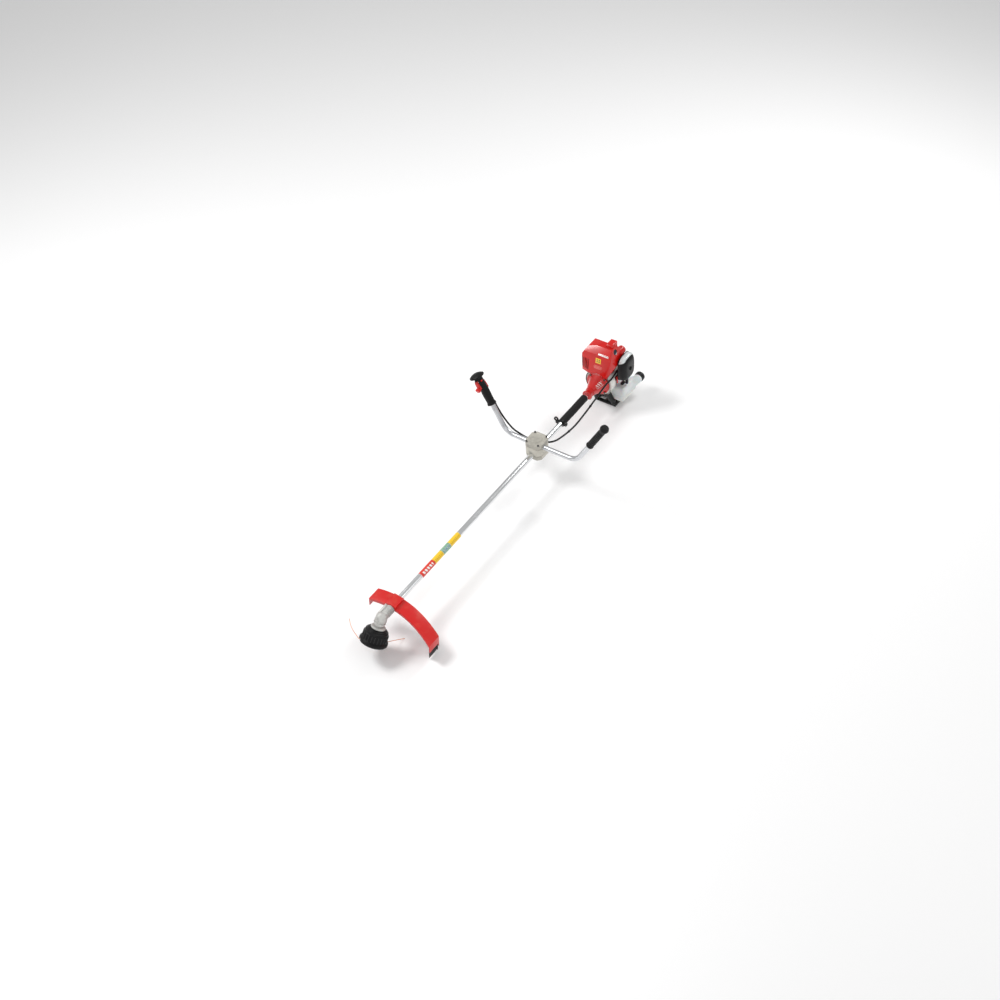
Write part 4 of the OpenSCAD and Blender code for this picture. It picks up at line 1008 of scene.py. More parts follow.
def row_recipe():
    """The same shape again and again along a straight line."""
    r = Recipe("row")
    line = r.node("GeometryNodeMeshLine", None,
                  {"Count": r.ask("Count", "Int"), "Offset": r.ask("Step", "Vector")})
    shape = r.node("GeometryNodeObjectInfo", None, {"Object": r.ask("Shape", "Object")}, out="Geometry")
    put = r.node("GeometryNodeInstanceOnPoints", None, {"Points": line, "Instance": shape})
    return r.close(put)


def with_shape(recipe, name, bm, source, **values):
    """Runs a recipe whose repeated shape is drawn here."""
    shape = helper(name + "_shape", as_mesh(bm, name + "_shape"))
    mesh = recipe.made(name, source, Shape=shape, **values)
    bpy.data.objects.remove(shape)
    return mesh


def empty_mesh(name):
    return bpy.data.meshes.new(name)


def joined(name, *meshes):
    """Several meshes as one, still in their own places."""
    bm = bmesh.new()
    for mesh in meshes:
        bm.from_mesh(mesh)
    return as_mesh(bm, name)


# ---- operators: one for each piece or group ----
class TrimmerStep(bpy.types.Operator):
    bl_options = {"REGISTER", "UNDO"}

    def execute(self, context):
        self.build()
        return {"FINISHED"}


class TRIMMER_OT_camera(TrimmerStep):
    """Place the camera high in front of the head, looking back along the tube"""

    bl_idname = "trimmer.camera"
    bl_label = "Camera"

    def build(self):
        data = bpy.data.cameras.new("camera")
        data.lens, data.sensor_width, data.clip_end = 49.4, 36.0, 60.0
        camera = bpy.data.objects.new("camera", data)
        right, up = Vector((-0.5616, 0.8250, -0.0629)), Vector((-0.6140, -0.3646, 0.7000))
        back = right.cross(up)
        camera.matrix_world = Matrix.Translation((3.990, 2.451, 4.143)) @ Matrix((right, up,
                back)).transposed().to_4x4()
        bpy.context.scene.collection.objects.link(camera)
        bpy.context.scene.camera = camera


class TRIMMER_OT_cutting_line(TrimmerStep):
    """Draw the two free ends of the cutting line"""

    bl_idname = "trimmer.cutting_line"
    bl_label = "Cutting line"

    def build(self):
        size = context_sizes("head")
        place = on_head(size.bell + 0.056) @ Matrix.Scale(MM, 4)
        curls = {
            "line_end_a": [(-40, -32.5, 0), (-45.5, -40, 0), (-36, -58, -1), (-22, -82, -2), (-4, -106, -3),
                           (18, -128, -4), (42, -148, -4)],
            "line_end_b": [(40, 32.5, 0), (48, 36.5, 0), (62, 38, 1), (82, 41, 2), (101, 45, 2),
                           (121, 51, 1), (140, 58, 0)],
        }
        for name, corners in curls.items():
            path = [place @ p for p in smoothed(corners, 8)]
            length = sum((b - a).length for a, b in zip(path, path[1:]))
            mesh = as_mesh(swept(bmesh.new(), path, size.line, 12), name)
            obj = shown(name, mesh, "head", "line", line_nylon(),
                        *(["cutting_line"] if name.endswith("a") else []))


class TRIMMER_OT_tube(TrimmerStep):
    """Turn the long hollow tube with rounded end edges"""

    bl_idname = "trimmer.tube"
    bl_label = "Long tube"

    def build(self):
        r = context_sizes("shaft").tube / MM
        run = (TUBE_FRONT - TUBE_BACK) / MM
        wall = [(r - 1.6, 0), (r, 0), (r, run), (r - 1.6, run)]
        mesh = as_mesh(turned(bmesh.new(), rounded(wall, 0.3, 2, closed=True), along_shaft(TUBE_BACK), 96),
                       "tube")
        shown("tube", mesh, body_of("main_tube"), "tube", polished_tube(), "main_tube")


class TRIMMER_OT_foam(TrimmerStep):
    """Pull the foam sleeve over the tube and fit the harness hanger"""

    bl_idname = "trimmer.foam"
    bl_label = "Foam and hanger"

    def build(self):
        size = context_sizes("shaft")
        inner, outer, end = size.tube / MM, size.foam / MM, size.foam_end / MM
        run = (high("foam_sleeve").x - low("foam_sleeve").x) / MM
        steps = 60
        skin_line = [(outer - 0.25 * (math.sin(i * 0.9) ** 2), end + (run - 2 * end) * i / steps)
                     for i in range(steps + 1)]
        profile = [(inner, 0), (outer - end, 0),
                   (outer - 0.8, 0.8)] + skin_line + [(outer - 0.8, run - 0.8), (outer - end, run),
                                                      (inner, run)]
        wobble = lambda a, r, z: r + (0.22 * math.sin(3 * a + z * 0.05) + 0.12 * math.sin(7 * a - z * 0.21)
                                      if r > inner + 1 else 0)
        mesh = as_mesh(turned(bmesh.new(), profile, along_shaft(low("foam_sleeve").x), 72, wobble), "foam")
        shown("foam", mesh, body_of("foam_sleeve"), "foam", foam_black(), "foam_sleeve")
        skin("hanger", moulded_black(), 0.0011, 3)


class TRIMMER_OT_bar(TrimmerStep):
    """Bend the bullhorn handlebar"""

    bl_idname = "trimmer.bar"
    bl_label = "Handlebar"

    def build(self):
        size = context_sizes("bar")
        corners = [on_right_arm(size.arm_right), on_right_arm(0), on_left_arm(0),
                   on_left_arm(size.arm_left)]
        line = point_mesh("bar_line", [c.translation for c in corners], join=True)
        mesh = piped_recipe().made("bar", line, Bend=size.bend, Steps=22, Radius=size.tube,
                                   Material=satin_bar())
        shown("bar", joined("bar", mesh), body_of("handlebar"), "bar_metal", satin_bar(), "handlebar")


class TRIMMER_OT_cable(TrimmerStep):
    """Lay the throttle cable from the grip, through the clamp and along the tube to the carburettor"""

    bl_idname = "trimmer.cable"
    bl_label = "Throttle cable"

    def build(self):
        size = context_sizes("shaft")
        route = [
            (541, -216, 318), (541, -206, 301), (542, -182, 264), (544, -152, 232), (548, -122, 214),
                 (547, -92, 202),
            (541, -62, 188), (534, -34, 181), (528, -8, 180), (520, 14, 180), (506, 34, 178),
                 (481, 48, 174),
            (445, 54, 169), (395, 57, 162), (340, 58, 158), (265, 56, 162), (205, 54, 168), (155, 52, 174),
            (115, 52, 182), (81, 56, 194), (60, 63, 203), (43, 66, 210), (20, 66, 217), (6, 66, 219),
        ]
        path = [p * MM for p in smoothed(route, 5)]
        line = point_mesh("cable_line", path, join=True)
        sleeve = piped_recipe().made("cable", line, Bend=0.001, Steps=1, Radius=size.cable,
                                     Material=cable_black())
        bm = bmesh.new()
        for start, reach in ((0, 4), (len(path) - 1, -4)):
            ends = [path[start + (reach * k) // 4] for k in range(5)]
            swept(bm, ends, size.cable * 1.5, 20, lambda t: 1.0 - 0.28 * t)
        clips = [i for i, p in enumerate(path) if 0.20 < p.x < 0.40][::14]
        for i in clips:
            along = (path[i + 1] - path[i - 1]).normalized() * 0.004
            swept(bm, [path[i] - along, path[i], path[i] + along], size.cable * 1.3, 20)
        shown("cable", joined("cable", sleeve, as_mesh(bm, "cable_ends")), "frame", "rubber_grip",
              cable_black(), "throttle_cable")


class TRIMMER_OT_clamp(TrimmerStep):
    """Close the three-part handlebar clamp round the tube and the bar"""

    bl_idname = "trimmer.clamp"
    bl_label = "Handlebar clamp"

    def build(self):
        for node in ("clamp_base", "clamp_body", "clamp_cap"):
            skin(node, clamp_grey(), 0.0042, 4)


class TRIMMER_OT_left_grip(TrimmerStep):
    """Mould the ribbed rubber grip of the left arm"""

    bl_idname = "trimmer.left_grip"
    bl_label = "Left grip"

    def build(self):
        size = context_sizes("bar")
        tube, run = size.tube / MM, size.grip / MM
        r = tube + 3.0
        start = size.arm_left - size.grip + 0.003
        profile = [(tube, 0), (r + 2.6, 0), (r + 2.6, 4.5), (r, 6.5)]
        pitch = (run - 44) / size.ribs
        for i in range(size.ribs):
            z = 9 + pitch * i
            profile += [(r, z), (r + 1.0, z + 1.2), (r + 1.0, z + pitch - 4.2), (r, z + pitch - 3.0)]
        profile += [(r + 0.4, run - 30), (r + 4.8, run - 15), (r + 5.2, run - 11), (r + 3.4, run - 7),
                    (r + 1.6, run - 2), (r - 2, run), (0, run)]
        waist = lambda a, q, z: q + (0.7 * math.sin(math.pi * z / run) * (0.5 + 0.5 * math.cos(2 * a))
                                     if q > tube + 1 else 0)
        mesh = as_mesh(turned(bmesh.new(), rounded(profile, 0.8, 3), on_left_arm(start), 64, waist),
                       "left_grip_skin", 50)
        shown("left_grip_skin", mesh, body_of("left_grip"), "rubber_grip", grip_rubber(), "left_grip")


class TRIMMER_OT_throttle_grip(TrimmerStep):
    """Shape the throttle grip, its mushroom stop, trigger, lockout lever and switch"""

    bl_idname = "trimmer.throttle_grip"
    bl_label = "Throttle grip"

    def build(self):
        size = context_sizes("bar")
        run = 128
        foot = on_right_arm(size.arm_right - 0.116)
        place = foot @ Matrix.Scale(MM, 4)
        tube = size.tube / MM
        shape = [(-4, 19, 19, 19), (3, 19, 19, 18.5), (6, 16.8, 16.8, 16.8), (24, 17.4, 16.6, 16.4),
                 (48, 18.6, 17.6, 17.0),
                 (70, 17.6, 18.4, 16.0), (84, 18.8, 18.6, 14.6), (96, 22.5, 18.8, 13.6),
                 (110, 25.4, 18.6, 13.2), (122, 24.6, 18.2, 13.0), (run, 21.0, 17.2, 12.6)]
        rings = []
        for z, front, rear, side in smoothed(shape, 4):
            ring = squircle((front + rear) / 2, side, 2.35, 44, (front - rear) / 2, 0, z)
            rings.append([place @ p for p in ring])
        hollow = [[place @ Vector((tube * math.cos(a), tube * math.sin(a), z))
                   for a in (math.tau * k / 44 for k in range(44))] for z in (run, -4)]
        grip = helper("grip", as_mesh(lofted(bmesh.new(), rings + hollow, closed_loop=True), "grip"))
        wells = bmesh.new()
        block(wells, (13.5, -9, 74), (40, 9, 119), foot)
        block(wells, (-40, -6.2, 66), (-13.6, 6.2, 117), foot)
        block(wells, (-2, 11.2, 107.5), (11, 24, 116.5), foot)
        for z in (22, 62):
            turned(wells, [(0, 0), (3.4, 0), (3.4, 12), (0, 12)],
                   foot @ shift(0, -0.0145, z * MM) @ turn("X", 90), 24)
        for s in (-1, 1):
            block(wells, (s * 30 - 14.5, -0.35, -10), (s * 30 + 14.5, 0.35, 140), foot)
        cutter = helper("wells", as_mesh(wells, "wells"))
        cut(grip, cutter)
        bm = bmesh.new()
        bm.from_mesh(settled(grip))
        bpy.data.objects.remove(cutter)
        shown("throttle_grip", as_mesh(bm, "throttle_grip", 30), "frame", "black_plastic", moulded_black(),
              "grip_shell_front", "grip_shell_rear")

        top = foot @ shift(0.004, 0, (run + 0.0) * MM)
        dome = [(0, 0), (19, 0), (31.5, 4), (33, 7.5), (32, 10.5), (25, 15), (17, 18.6), (8, 20.4),
                (0, 20.8)]
        oval = lambda a, r, z: r * (1.0 + 0.03 * math.cos(2 * a))
        stop = as_mesh(turned(bmesh.new(), rounded(dome, 2.6, 4), top, 72, oval), "hand_stop_skin", 60)
        shown("hand_stop_skin", stop, "frame", "black_plastic", moulded_black(), "hand_stop")
        skin("throttle_trigger", button_red(), 0.0022, 4)
        skin("lockout_lever", button_red(), 0.0018, 4)
        skin("stop_switch", button_red(), 0.0007, 3)
        skin("handle_pins", bright_steel(), 0.0003)


class TRIMMER_OT_gear_case(TrimmerStep):
    """Cast the ribbed gear case and its dish"""

    bl_idname = "trimmer.gear_case"
    bl_label = "Gear case"

    def build(self):
        skin("gear_case", cast_alloy(), 0.0014, 3)
        bm = bmesh.new()
        back = along_shaft(GEAR.x - 0.060)
        for k in range(4):
            turned(bm, rounded([(17.0, 0), (19.6, 0.4), (19.6, 2.6), (17.0, 3.0)], 0.5, 2, closed=True),
                   back @ shift(0, 0, 0.003 + 0.0085 * k), 56)
        for s in (-1, 1):
            block(bm, (-2 + 11 * s, -24.0, -52), (2 + 11 * s, -15, 6),
                  back @ shift(0, 0, 0.052) @ turn("Z", context_sizes("head").roll))
        for k, r in ((-20, 20.4), (4, 24.3), (14, 24.0)):
            turned(bm, rounded([(r - 3, 0), (r, 0.5), (r, 3), (r - 3, 3.5)], 0.5, 2, closed=True),
                   on_head(k * MM), 56)
        shown("gear_case_ribs", softened("gear_case_ribs", bm, 0.0005, 2), "frame", "cast_grey",
              cast_alloy())
        dish = [(6, -8), (14, -8), (15, -2), (25, 0), (29.5, 2.5), (29.5, 6.5), (27, 8), (6, 8)]
        mesh = as_mesh(turned(bmesh.new(), rounded(dish, 1.0, 3, closed=True), on_head(0.032), 72), "dish")
        shown("dish", mesh, "head", "cast_grey", cast_alloy(), "head_adapter")


class TRIMMER_OT_head(TrimmerStep):
    """Mould the ribbed line head, its brim, eyelets and bump knob"""

    bl_idname = "trimmer.head"
    bl_label = "Line head"

    def build(self):
        size = context_sizes("head")
        brim = size.brim / MM
        place = on_head(size.bell)
        outer = [(8, 0), (30, 0), (32, 2.5), (38, 4), (40, 8.5), (45, 10.5), (46.5, 18), (48.6, 19.5),
                 (48.6, 46), (51, 48.5), (brim, 52), (brim, 61), (brim - 2.5, 64)]
        inner = [(brim - 11, 64), (brim - 11, 22), (brim - 15, 12), (29, 6), (8, 5)]
        notch = lambda a, r, z: r - (1.1 if r > brim - 1 and z > 50 and math.cos(20 * a) > 0.55 else 0)
        bell = as_mesh(turned(bmesh.new(), rounded(outer, 1.1, 3) + [Vector(p) for p in inner], place, 240,
                              notch), "bell", 40)
        rib = bmesh.new()
        lofted(rib, [[Vector((x, y, z)) * MM for x,
                      y in ((-2, -1.3), (2.0 - t, -1.0), (2.0 - t, 1.0), (-2, 1.3))] for z,
                     t in ((20, 1.6), (23, 0), (44, 0), (47, 1.2))])
        ribs = with_shape(crown_recipe(), "bell_ribs", rib, empty_mesh("bell_source"), Count=size.ribs,
                          Radius=0.0486, Material=moulded_black())
        ribs.transform(place)
        shown("bell", joined("bell", bell, ribs), "head", "black_plastic", moulded_black(), "head_housing")

        eyes = bmesh.new()
        for s in (0, 180):
            mouth = place @ turn("Z", 218 + s) @ shift(0.0515, 0, 0.056) @ turn("Y", 90)
            turned(eyes, rounded([(1.8, 0), (3.7, 0), (3.7, 5.0), (4.6, 5.2), (4.6, 6.6), (1.9, 6.8)], 0.4,
                                 3, closed=True), mouth, 32)
        shown("eyelets", as_mesh(eyes, "eyelets"), "head", "steel", bright_steel())

        grip = lambda a, r, z: r * (1 - 0.035 * (0.5 + 0.5 * math.cos(9 * a))) if r > 17 else r
        knob = [(0, 31), (9, 31), (9, 67.5), (20, 68.5), (27, 68.5), (27.2, 72), (26, 76), (22, 78.5),
                (18, 77.4), (15, 73.6), (0, 72.6)]
        mesh = as_mesh(turned(bmesh.new(), rounded(knob, 1.0, 3), place, 120, grip), "knob", 45)
        shown("knob", mesh, "knob", "black_plastic", moulded_black(), "bump_knob")


class TRIMMER_OT_guard(TrimmerStep):
    """Form the red guard, its saddle, strap, skirt and line cutter"""

    bl_idname = "trimmer.guard"
    bl_label = "Guard"

    def build(self):
        skin("guard", guard_red(), 0.0016, 3)
        skin("guard_clamp", deep_red(), 0.0014, 3)
        skin("guard_skirt", moulded_black(), 0.0009, 2)
        skin("line_cutter", machined_steel(), 0.0003, 1)


class TRIMMER_OT_clutch(TrimmerStep):
    """Fit the painted clutch cone with its flange and split neck"""

    bl_idname = "trimmer.clutch"
    bl_label = "Clutch cone"

    def build(self):
        skin("clutch_housing", cone_red(), 0.0016, 3)


class TRIMMER_OT_engine_block(TrimmerStep):
    """Assemble the castings under the cover: housings, cylinder, muffler and plug"""

    bl_idname = "trimmer.engine_block"
    bl_label = "Engine block"

    def build(self):
        for node, finish_of, edge in (
            ("fan_housing", cast_alloy, 0.0016), ("crankcase", cast_alloy, 0.0014),
                                      ("cylinder", cast_alloy, 0.0006),
            ("muffler", hot_steel, 0.0018), ("spark_plug", glazed_white, 0.0004),
        ):
            skin(node, finish_of(), edge, 2)
        plug = mid("spark_plug")
        root = Vector((plug.x, plug.y, low("plug_boot").z))
        elbow = along_boot()
        path = smoothed([root, root + Vector((0, 0, 0.018)), elbow @ Vector((0, 0, 0.004)),
                         elbow @ Vector((0, 0, 0.022)), elbow @ Vector((0, 0, 0.056))], 8)
        bulge = lambda t: 1.0 - 0.10 * math.sin(math.pi * t) + (0.22 if t > 0.86 else 0)
        boot = as_mesh(swept(bmesh.new(), path, 0.0095, 36, bulge), "boot")
        shown("boot", boot, "frame", "boot", boot_rubber(), "plug_boot")


def along_boot():
    """Frame on the plug boot's slanting arm, from its elbow."""
    return shift(PLUG_X, 0, low("spark_plug").z + 0.035) @ turn("Y", 25) @ turn("X", -62)


def narrowed(bm, polygon, axes, inset):
    """Cuts a convex solid down to a convex outline that runs along the third axis."""
    a, b = axes
    points = [Vector(p) for p in polygon]
    centre = sum(points, Vector((0, 0))) / len(points)
    for p, q in zip(points, points[1:] + points[:1]):
        side = (q - p).normalized()
        out = Vector((side.y, -side.x))
        if out.dot(p - centre) < 0:
            out = -out
        spot, facing = Vector((0, 0, 0)), Vector((0, 0, 0))
        spot[a], spot[b] = (p - out * inset) * MM
        facing[a], facing[b] = out
        done = bmesh.ops.bisect_plane(bm, geom=bm.verts[:] + bm.edges[:] + bm.faces[:], plane_co=spot,
                                      plane_no=facing, clear_outer=True, dist=1e-7)
        edges = [e for e in done["geom_cut"] if isinstance(e, bmesh.types.BMEdge)]
        if edges:
            bmesh.ops.edgeloop_fill(bm, edges=edges)


def cover_form(inset):
    """The cover's faceted outline, drawn in from outside by inset millimetres."""
    z = AXIS_Z / MM
    bm = block(bmesh.new(), (-300, -300, 0), (300, 300, 600))
    plan = [(66, -54), (66, 46), (58, 58), (28, 70), (-54, 70), (-54, -98), (34, -98), (57, -84)]
    side = [(66, 44), (66, 76), (52, 148), (22, 175), (-10, 180), (-54, 140), (-54, 44)]
    face = [(-98, 44), (-98, 112), (-66, 166), (-10, 180), (44, 180), (60, 138), (70, 98), (46, 44)]
    narrowed(bm, plan, (0, 1), inset)
    narrowed(bm, [(x, h + z) for x, h in side], (0, 2), inset)
    narrowed(bm, [(y, h + z) for y, h in face], (1, 2), inset)
    return bm


def cut(obj, cutter, operation="DIFFERENCE"):
    """Takes one helper's shape out of another's."""
    away = obj.modifiers.new("cut", "BOOLEAN")
    away.operation, away.solver, away.object = operation, "EXACT", cutter
    away.use_self = True


class TRIMMER_OT_cover(TrimmerStep):
    """Mould the faceted red engine cover with its louvres, plug boss and labels; its louvre slats are darker red
    as painted shade, and a white bar on the front top edge is a painted highlight
    """

    bl_idname = "trimmer.cover"
    bl_label = "Engine cover"

    def build(self):
        size = context_sizes("engine")
        z = AXIS_Z / MM
        shell = helper("cover", softened("cover", cover_form(0), size.edge, 5, 12, 60))
        hood = bmesh.new()
        block(hood, (-36, 10, z + 130), (12, 42, z + 188))
        hood_obj = helper("hood", softened("hood", hood, 0.004, 4, 20, 60))
        boss = helper("boss", as_mesh(turned(bmesh.new(),
                                             rounded([(0, 0), (19, 0), (19, 40), (0, 40)], 7, 6),
                                             shift(-0.064, 0.050, AXIS_Z + 0.128) @ turn("Y", 90), 72),
                                      "boss"))
        cut(shell, hood_obj, "UNION")
        cut(shell, boss, "UNION")

        room = helper("room", as_mesh(cover_form(size.wall / MM), "room"))
        open_bm = bmesh.new()
        block(open_bm, (-74, -200, z + 43), (36, 200, z + 50))
        block(open_bm, (-62, -95.5, z - 1), (-47, 67.5, z + 105))
        block(open_bm, (-35, 30, z), (9, 92, z + 104))
        windows = helper("windows", as_mesh(open_bm, "windows"))
        bores = []
        for name, profile, place in (
            ("fan_room", [(0, -40), (70, -40), (70, 1), (57, 1), (57, 20), (0, 20)],
             along_shaft(FAN_FRONT)),
            ("boss_room", [(0, 0), (14, 0), (14, 40), (0, 40)],
             shift(-0.078, 0.050, AXIS_Z + 0.128) @ turn("Y", 90)),
            ("boot_room", [(0, 0), (13, 0), (13, 90), (0, 90)], along_boot()),
        ):
            bores.append(helper(name, as_mesh(turned(bmesh.new(), profile, place, 64), name)))
        slot_shape = softened("slot", block(bmesh.new(), (-2.6, -8, -23), (2.6, 8, 23)), 0.0024, 4)
        slot_bm = bmesh.new()
        slot_bm.from_mesh(slot_shape)
        side_slots = with_shape(row_recipe(), "slots", slot_bm, empty_mesh("slot_source"), Count=6,
                                Step=(0.011, 0, 0), Material=gloss_red())
        side_slots.transform(shift(-0.0415, -0.096, AXIS_Z + 0.085))
        front_slot = softened("front_slot", block(bmesh.new(), (-20, -2.2, -28), (20, 2.2, 28)), 0.002, 4)
        front_bm = bmesh.new()
        front_bm.from_mesh(front_slot)
        front_slots = with_shape(row_recipe(), "slots", front_bm, empty_mesh("slot_source"),
                                 Count=size.louvres - 1, Step=(0, 0.008, 0), Material=gloss_red())
        front_slots.transform(shift(0.052, -0.090, AXIS_Z + 0.088))
        slots = helper("slots", joined("slots", side_slots, front_slots))
        tools = [room, windows] + bores + [slots]
        for tool in tools:
            cut(shell, tool)
        mesh = settled(shell)
        for tool in tools + [hood_obj, boss]:
            bpy.data.objects.remove(tool)
        bm = bmesh.new()
        bm.from_mesh(mesh)
        shown("cover", as_mesh(bm, "cover", 34), "frame", "red_plastic", gloss_red(), "engine_cover")

        # The slats and fins inside the louvre slots are deep red, darker than the cover: painted shade inside the
        # louvres.
        slat = block(bmesh.new(), (-0.9, -1.2, -24), (0.9, 5.0, 24), turn("Z", 38))
        slats = with_shape(row_recipe(), "slats", slat, empty_mesh("slat_source"), Count=size.louvres,
                           Step=(0.011, 0, 0), Material=deep_red())
        slats.transform(shift(-0.0475, -0.0965, AXIS_Z + 0.085))
        fin = block(bmesh.new(), (-16, -0.9, -29), (-1, 0.9, 29), turn("Z", -14))
        fins = with_shape(row_recipe(), "fins", fin, empty_mesh("fin_source"), Count=size.louvres - 1,
                          Step=(0.0022, 0.008, 0), Material=deep_red())
        fins.transform(shift(0.0490, -0.090, AXIS_Z + 0.088))
        shown("slats", joined("slats", slats, fins), "frame", "dark_red", deep_red())

        rise = math.degrees(math.atan2(14, 72))
        front = lambda height: shift((66 - 14 * (height - 76) / 72) * MM, 0,
                                     AXIS_Z + height * MM) @ turn("Y", 90 - rise)
        for name, height, y, wide, tall, thick, material in (
            ("caution_square", 122, -1, 26, 24, 0.7, label_yellow()),
                    ("faint_print", 89, 0, 40, 18, 0.4, label_faint()),
        ):
            plate = softened(name, block(bmesh.new(), (-tall / 2, y - wide / 2, -0.3),
                                         (tall / 2, y + wide / 2, thick), front(height)), 0.0002, 2)
            shown(name, plate, "frame", "red_plastic", material)
        # A raised white bar across the front top of the cover: a painted highlight standing on the crease.
        crest = shift(0.0475, 0.020, AXIS_Z + 0.1522) @ turn("Y", 90 - math.degrees(math.atan2(30, 27)))
        bar = softened("crest_bar", block(bmesh.new(), (-4.6, -26, -2), (4.6, 26, 2.6), crest), 0.0018, 4)
        shown("crest_bar", bar, "frame", "red_plastic", label_white())


class TRIMMER_OT_intake(TrimmerStep):
    """Fit the carburettor, filter box, choke lever and primer, with a pale painted reflection over the filter
    box's top
    """

    bl_idname = "trimmer.intake"
    bl_label = "Intake"

    def build(self):
        for node, finish_of, edge in (
            ("carburettor", cast_alloy, 0.0012), ("carb_lever", machined_steel, 0.0004),
                                      ("air_filter_base", moulded_black, 0.001),
            ("choke_lever", button_red, 0.0012), ("primer_bulb", soft_bulb, 0),
        ):
            skin(node, finish_of(), edge, 2)
        back, front = low("air_filter_cover").y / MM, high("air_filter_cover").y / MM
        centre = mid("air_filter_cover")
        wide, tall = (high("air_filter_cover").x
                      - low("air_filter_cover").x) / MM / 2, (high("air_filter_cover").z
                              - low("air_filter_cover").z) / MM / 2
        place = shift(centre.x, 0, centre.z) @ turn("X", 90) @ Matrix.Scale(MM, 4)

        def ring(inset, y):
            return [place @ p for p in squircle(wide - inset, tall - inset, 3.4, 96, z=-y)]

        deep = front - back
        outside = [(0, back), (0, back + deep * 0.45), (0.8, back + deep * 0.56), (3, back + deep * 0.68),
                   (7.5, back + deep * 0.82), (9, back + deep * 0.86), (13, back + deep * 0.94),
                   (20, front), (40, front + 0.4)]
        inside = [(40, front - 3), (16, front - 4), (5, back + deep * 0.6), (3, back)]
        rings = [ring(i, y) for i, y in outside]
        bm = lofted(bmesh.new(), rings + [ring(i, y) for i, y in inside], closed_loop=True)
        lid = bmesh.new()
        lofted(lid, [ring(39.5, front - 2), ring(39.5, front + 0.3)])
        bm.from_mesh(as_mesh(lid, "lid"))
        shown("filter_cover", as_mesh(bm, "filter_cover", 28), "frame", "black_plastic", moulded_black(),
              "air_filter_cover")

        # A pale band over the top of the black filter box: a painted reflection of the overhead light on its
        # glossy top.
        rim = lofted(bmesh.new(), [ring(2.2, back + 1), ring(-1.0, back + 1), ring(-1.4, back + 3),
                                   ring(-1.2, back + deep * 0.52), ring(0.4, back + deep * 0.62),
                                   ring(4.2, back + deep * 0.72), ring(5.4, back + deep * 0.70)],
                     closed_loop=True)
        done = bmesh.ops.bisect_plane(rim, geom=rim.verts[:] + rim.edges[:] + rim.faces[:],
                                      plane_co=(0, back * MM, centre.z + 0.040), plane_no=(0, 0.45, -1),
                                      clear_outer=True)
        bmesh.ops.holes_fill(rim, edges=[e for e in done["geom_cut"] if isinstance(e, bmesh.types.BMEdge)])
        shown("filter_rim", as_mesh(rim, "filter_rim", 40), "frame", "black_plastic", pale_gloss())

        knob = softened("filter_screw",
                        turned(bmesh.new(), [(0, 0), (9, 0), (8, 7), (3, 8), (0, 8)],
                               shift(centre.x, front * MM - 0.001, centre.z) @ turn("X", -90), 36, lambda a,
                               r, z: r * (1 - 0.08 * math.cos(6 * a)) if r > 7 else r), 0.0006, 2)
        shown("filter_screw", knob, "frame", "black_plastic", moulded_black())


class TRIMMER_OT_tank(TrimmerStep):
    """Blow the milky fuel tank and ring its cap with ribs"""

    bl_idname = "trimmer.tank"
    bl_label = "Fuel tank"

    def build(self):
        mesh = as_mesh(node_shape("fuel_tank"), "fuel_tank_skin", 50)
        shown("fuel_tank_skin", mesh, "frame", "tank", milky_tank(), "fuel_tank")
        cap_low, cap_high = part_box("fuel_cap")
        radius, run = (cap_high.z - cap_low.z) / 2 / MM, (cap_high.x - cap_low.x) / MM
        place = shift(cap_high.x, mid("fuel_cap").y, mid("fuel_cap").z) @ turn("Y", -90)
        profile = [(radius - 4.5, 0), (radius - 1.2, 0), (radius - 1.2, run - 3), (radius - 4, run),
                   (radius - 8, run), (radius - 9, run - 1.6), (4, run - 1.6), (0, run - 1.6)]
        lid = as_mesh(turned(bmesh.new(), rounded(profile, 0.8, 3), place, 96), "cap_lid")
        bm = bmesh.new()
        bm.from_mesh(lid)
        bmesh.ops.holes_fill(bm, edges=[e for e in bm.edges if e.is_boundary])
        rib = bmesh.new()
        lofted(rib, [[Vector((x, y, z)) * MM for x,
                      y in ((-2, -2.1), (1.2 - t, -1.2), (1.2 - t, 1.2), (-2, 2.1))] for z,
                     t in ((0.4, 0.6), (2, 0), (run - 5, 0), (run - 3.2, 0.8))])
        ribs = with_shape(crown_recipe(), "cap_ribs", rib, empty_mesh("cap_source"),
                          Count=context_sizes("engine").knurls, Radius=(radius - 1.2) * MM,
                          Material=moulded_black())
        ribs.transform(place)
        bar = as_mesh(block(bmesh.new(), (-radius + 10, -2.4, run - 2), (radius - 10, 2.4, run + 1.4),
                            place), "cap_bar")
        shown("cap", joined("cap", as_mesh(bm, "cap_closed"), ribs, bar), "cap", "black_plastic",
              moulded_black(), "fuel_cap")

        top = Vector((-0.052, 0.058, high("fuel_tank").z - 0.0015))
        oval = lambda a, r, z: r * (1 + 0.22 * math.cos(2 * a))
        plug = turned(bmesh.new(), rounded([(0, -1), (11, -1), (11, 2.4), (8, 4.2), (4, 4.2), (0, 4.2)],
                                           0.9, 3), Matrix.Translation(top), 48, oval)
        shown("tank_grommet", as_mesh(plug, "tank_grommet", 45), "frame", "rubber_grip", grip_rubber())


class TRIMMER_OT_starter(TrimmerStep):
    """Fit the pull starter's housing and handle"""

    bl_idname = "trimmer.starter"
    bl_label = "Pull starter"

    def build(self):
        skin("starter_housing", deep_red(), 0.0016, 3)
        skin("starter_handle", grip_rubber(), 0.0016, 3)
        skin("starter_pulley", moulded_black(), 0.0005, 1)


class TRIMMER_OT_stand(TrimmerStep):
    """Fit the thin black stand under the engine"""

    bl_idname = "trimmer.stand"
    bl_label = "Stand"

    def build(self):
        skin("engine_stand", stand_black(), 0.0013, 3)


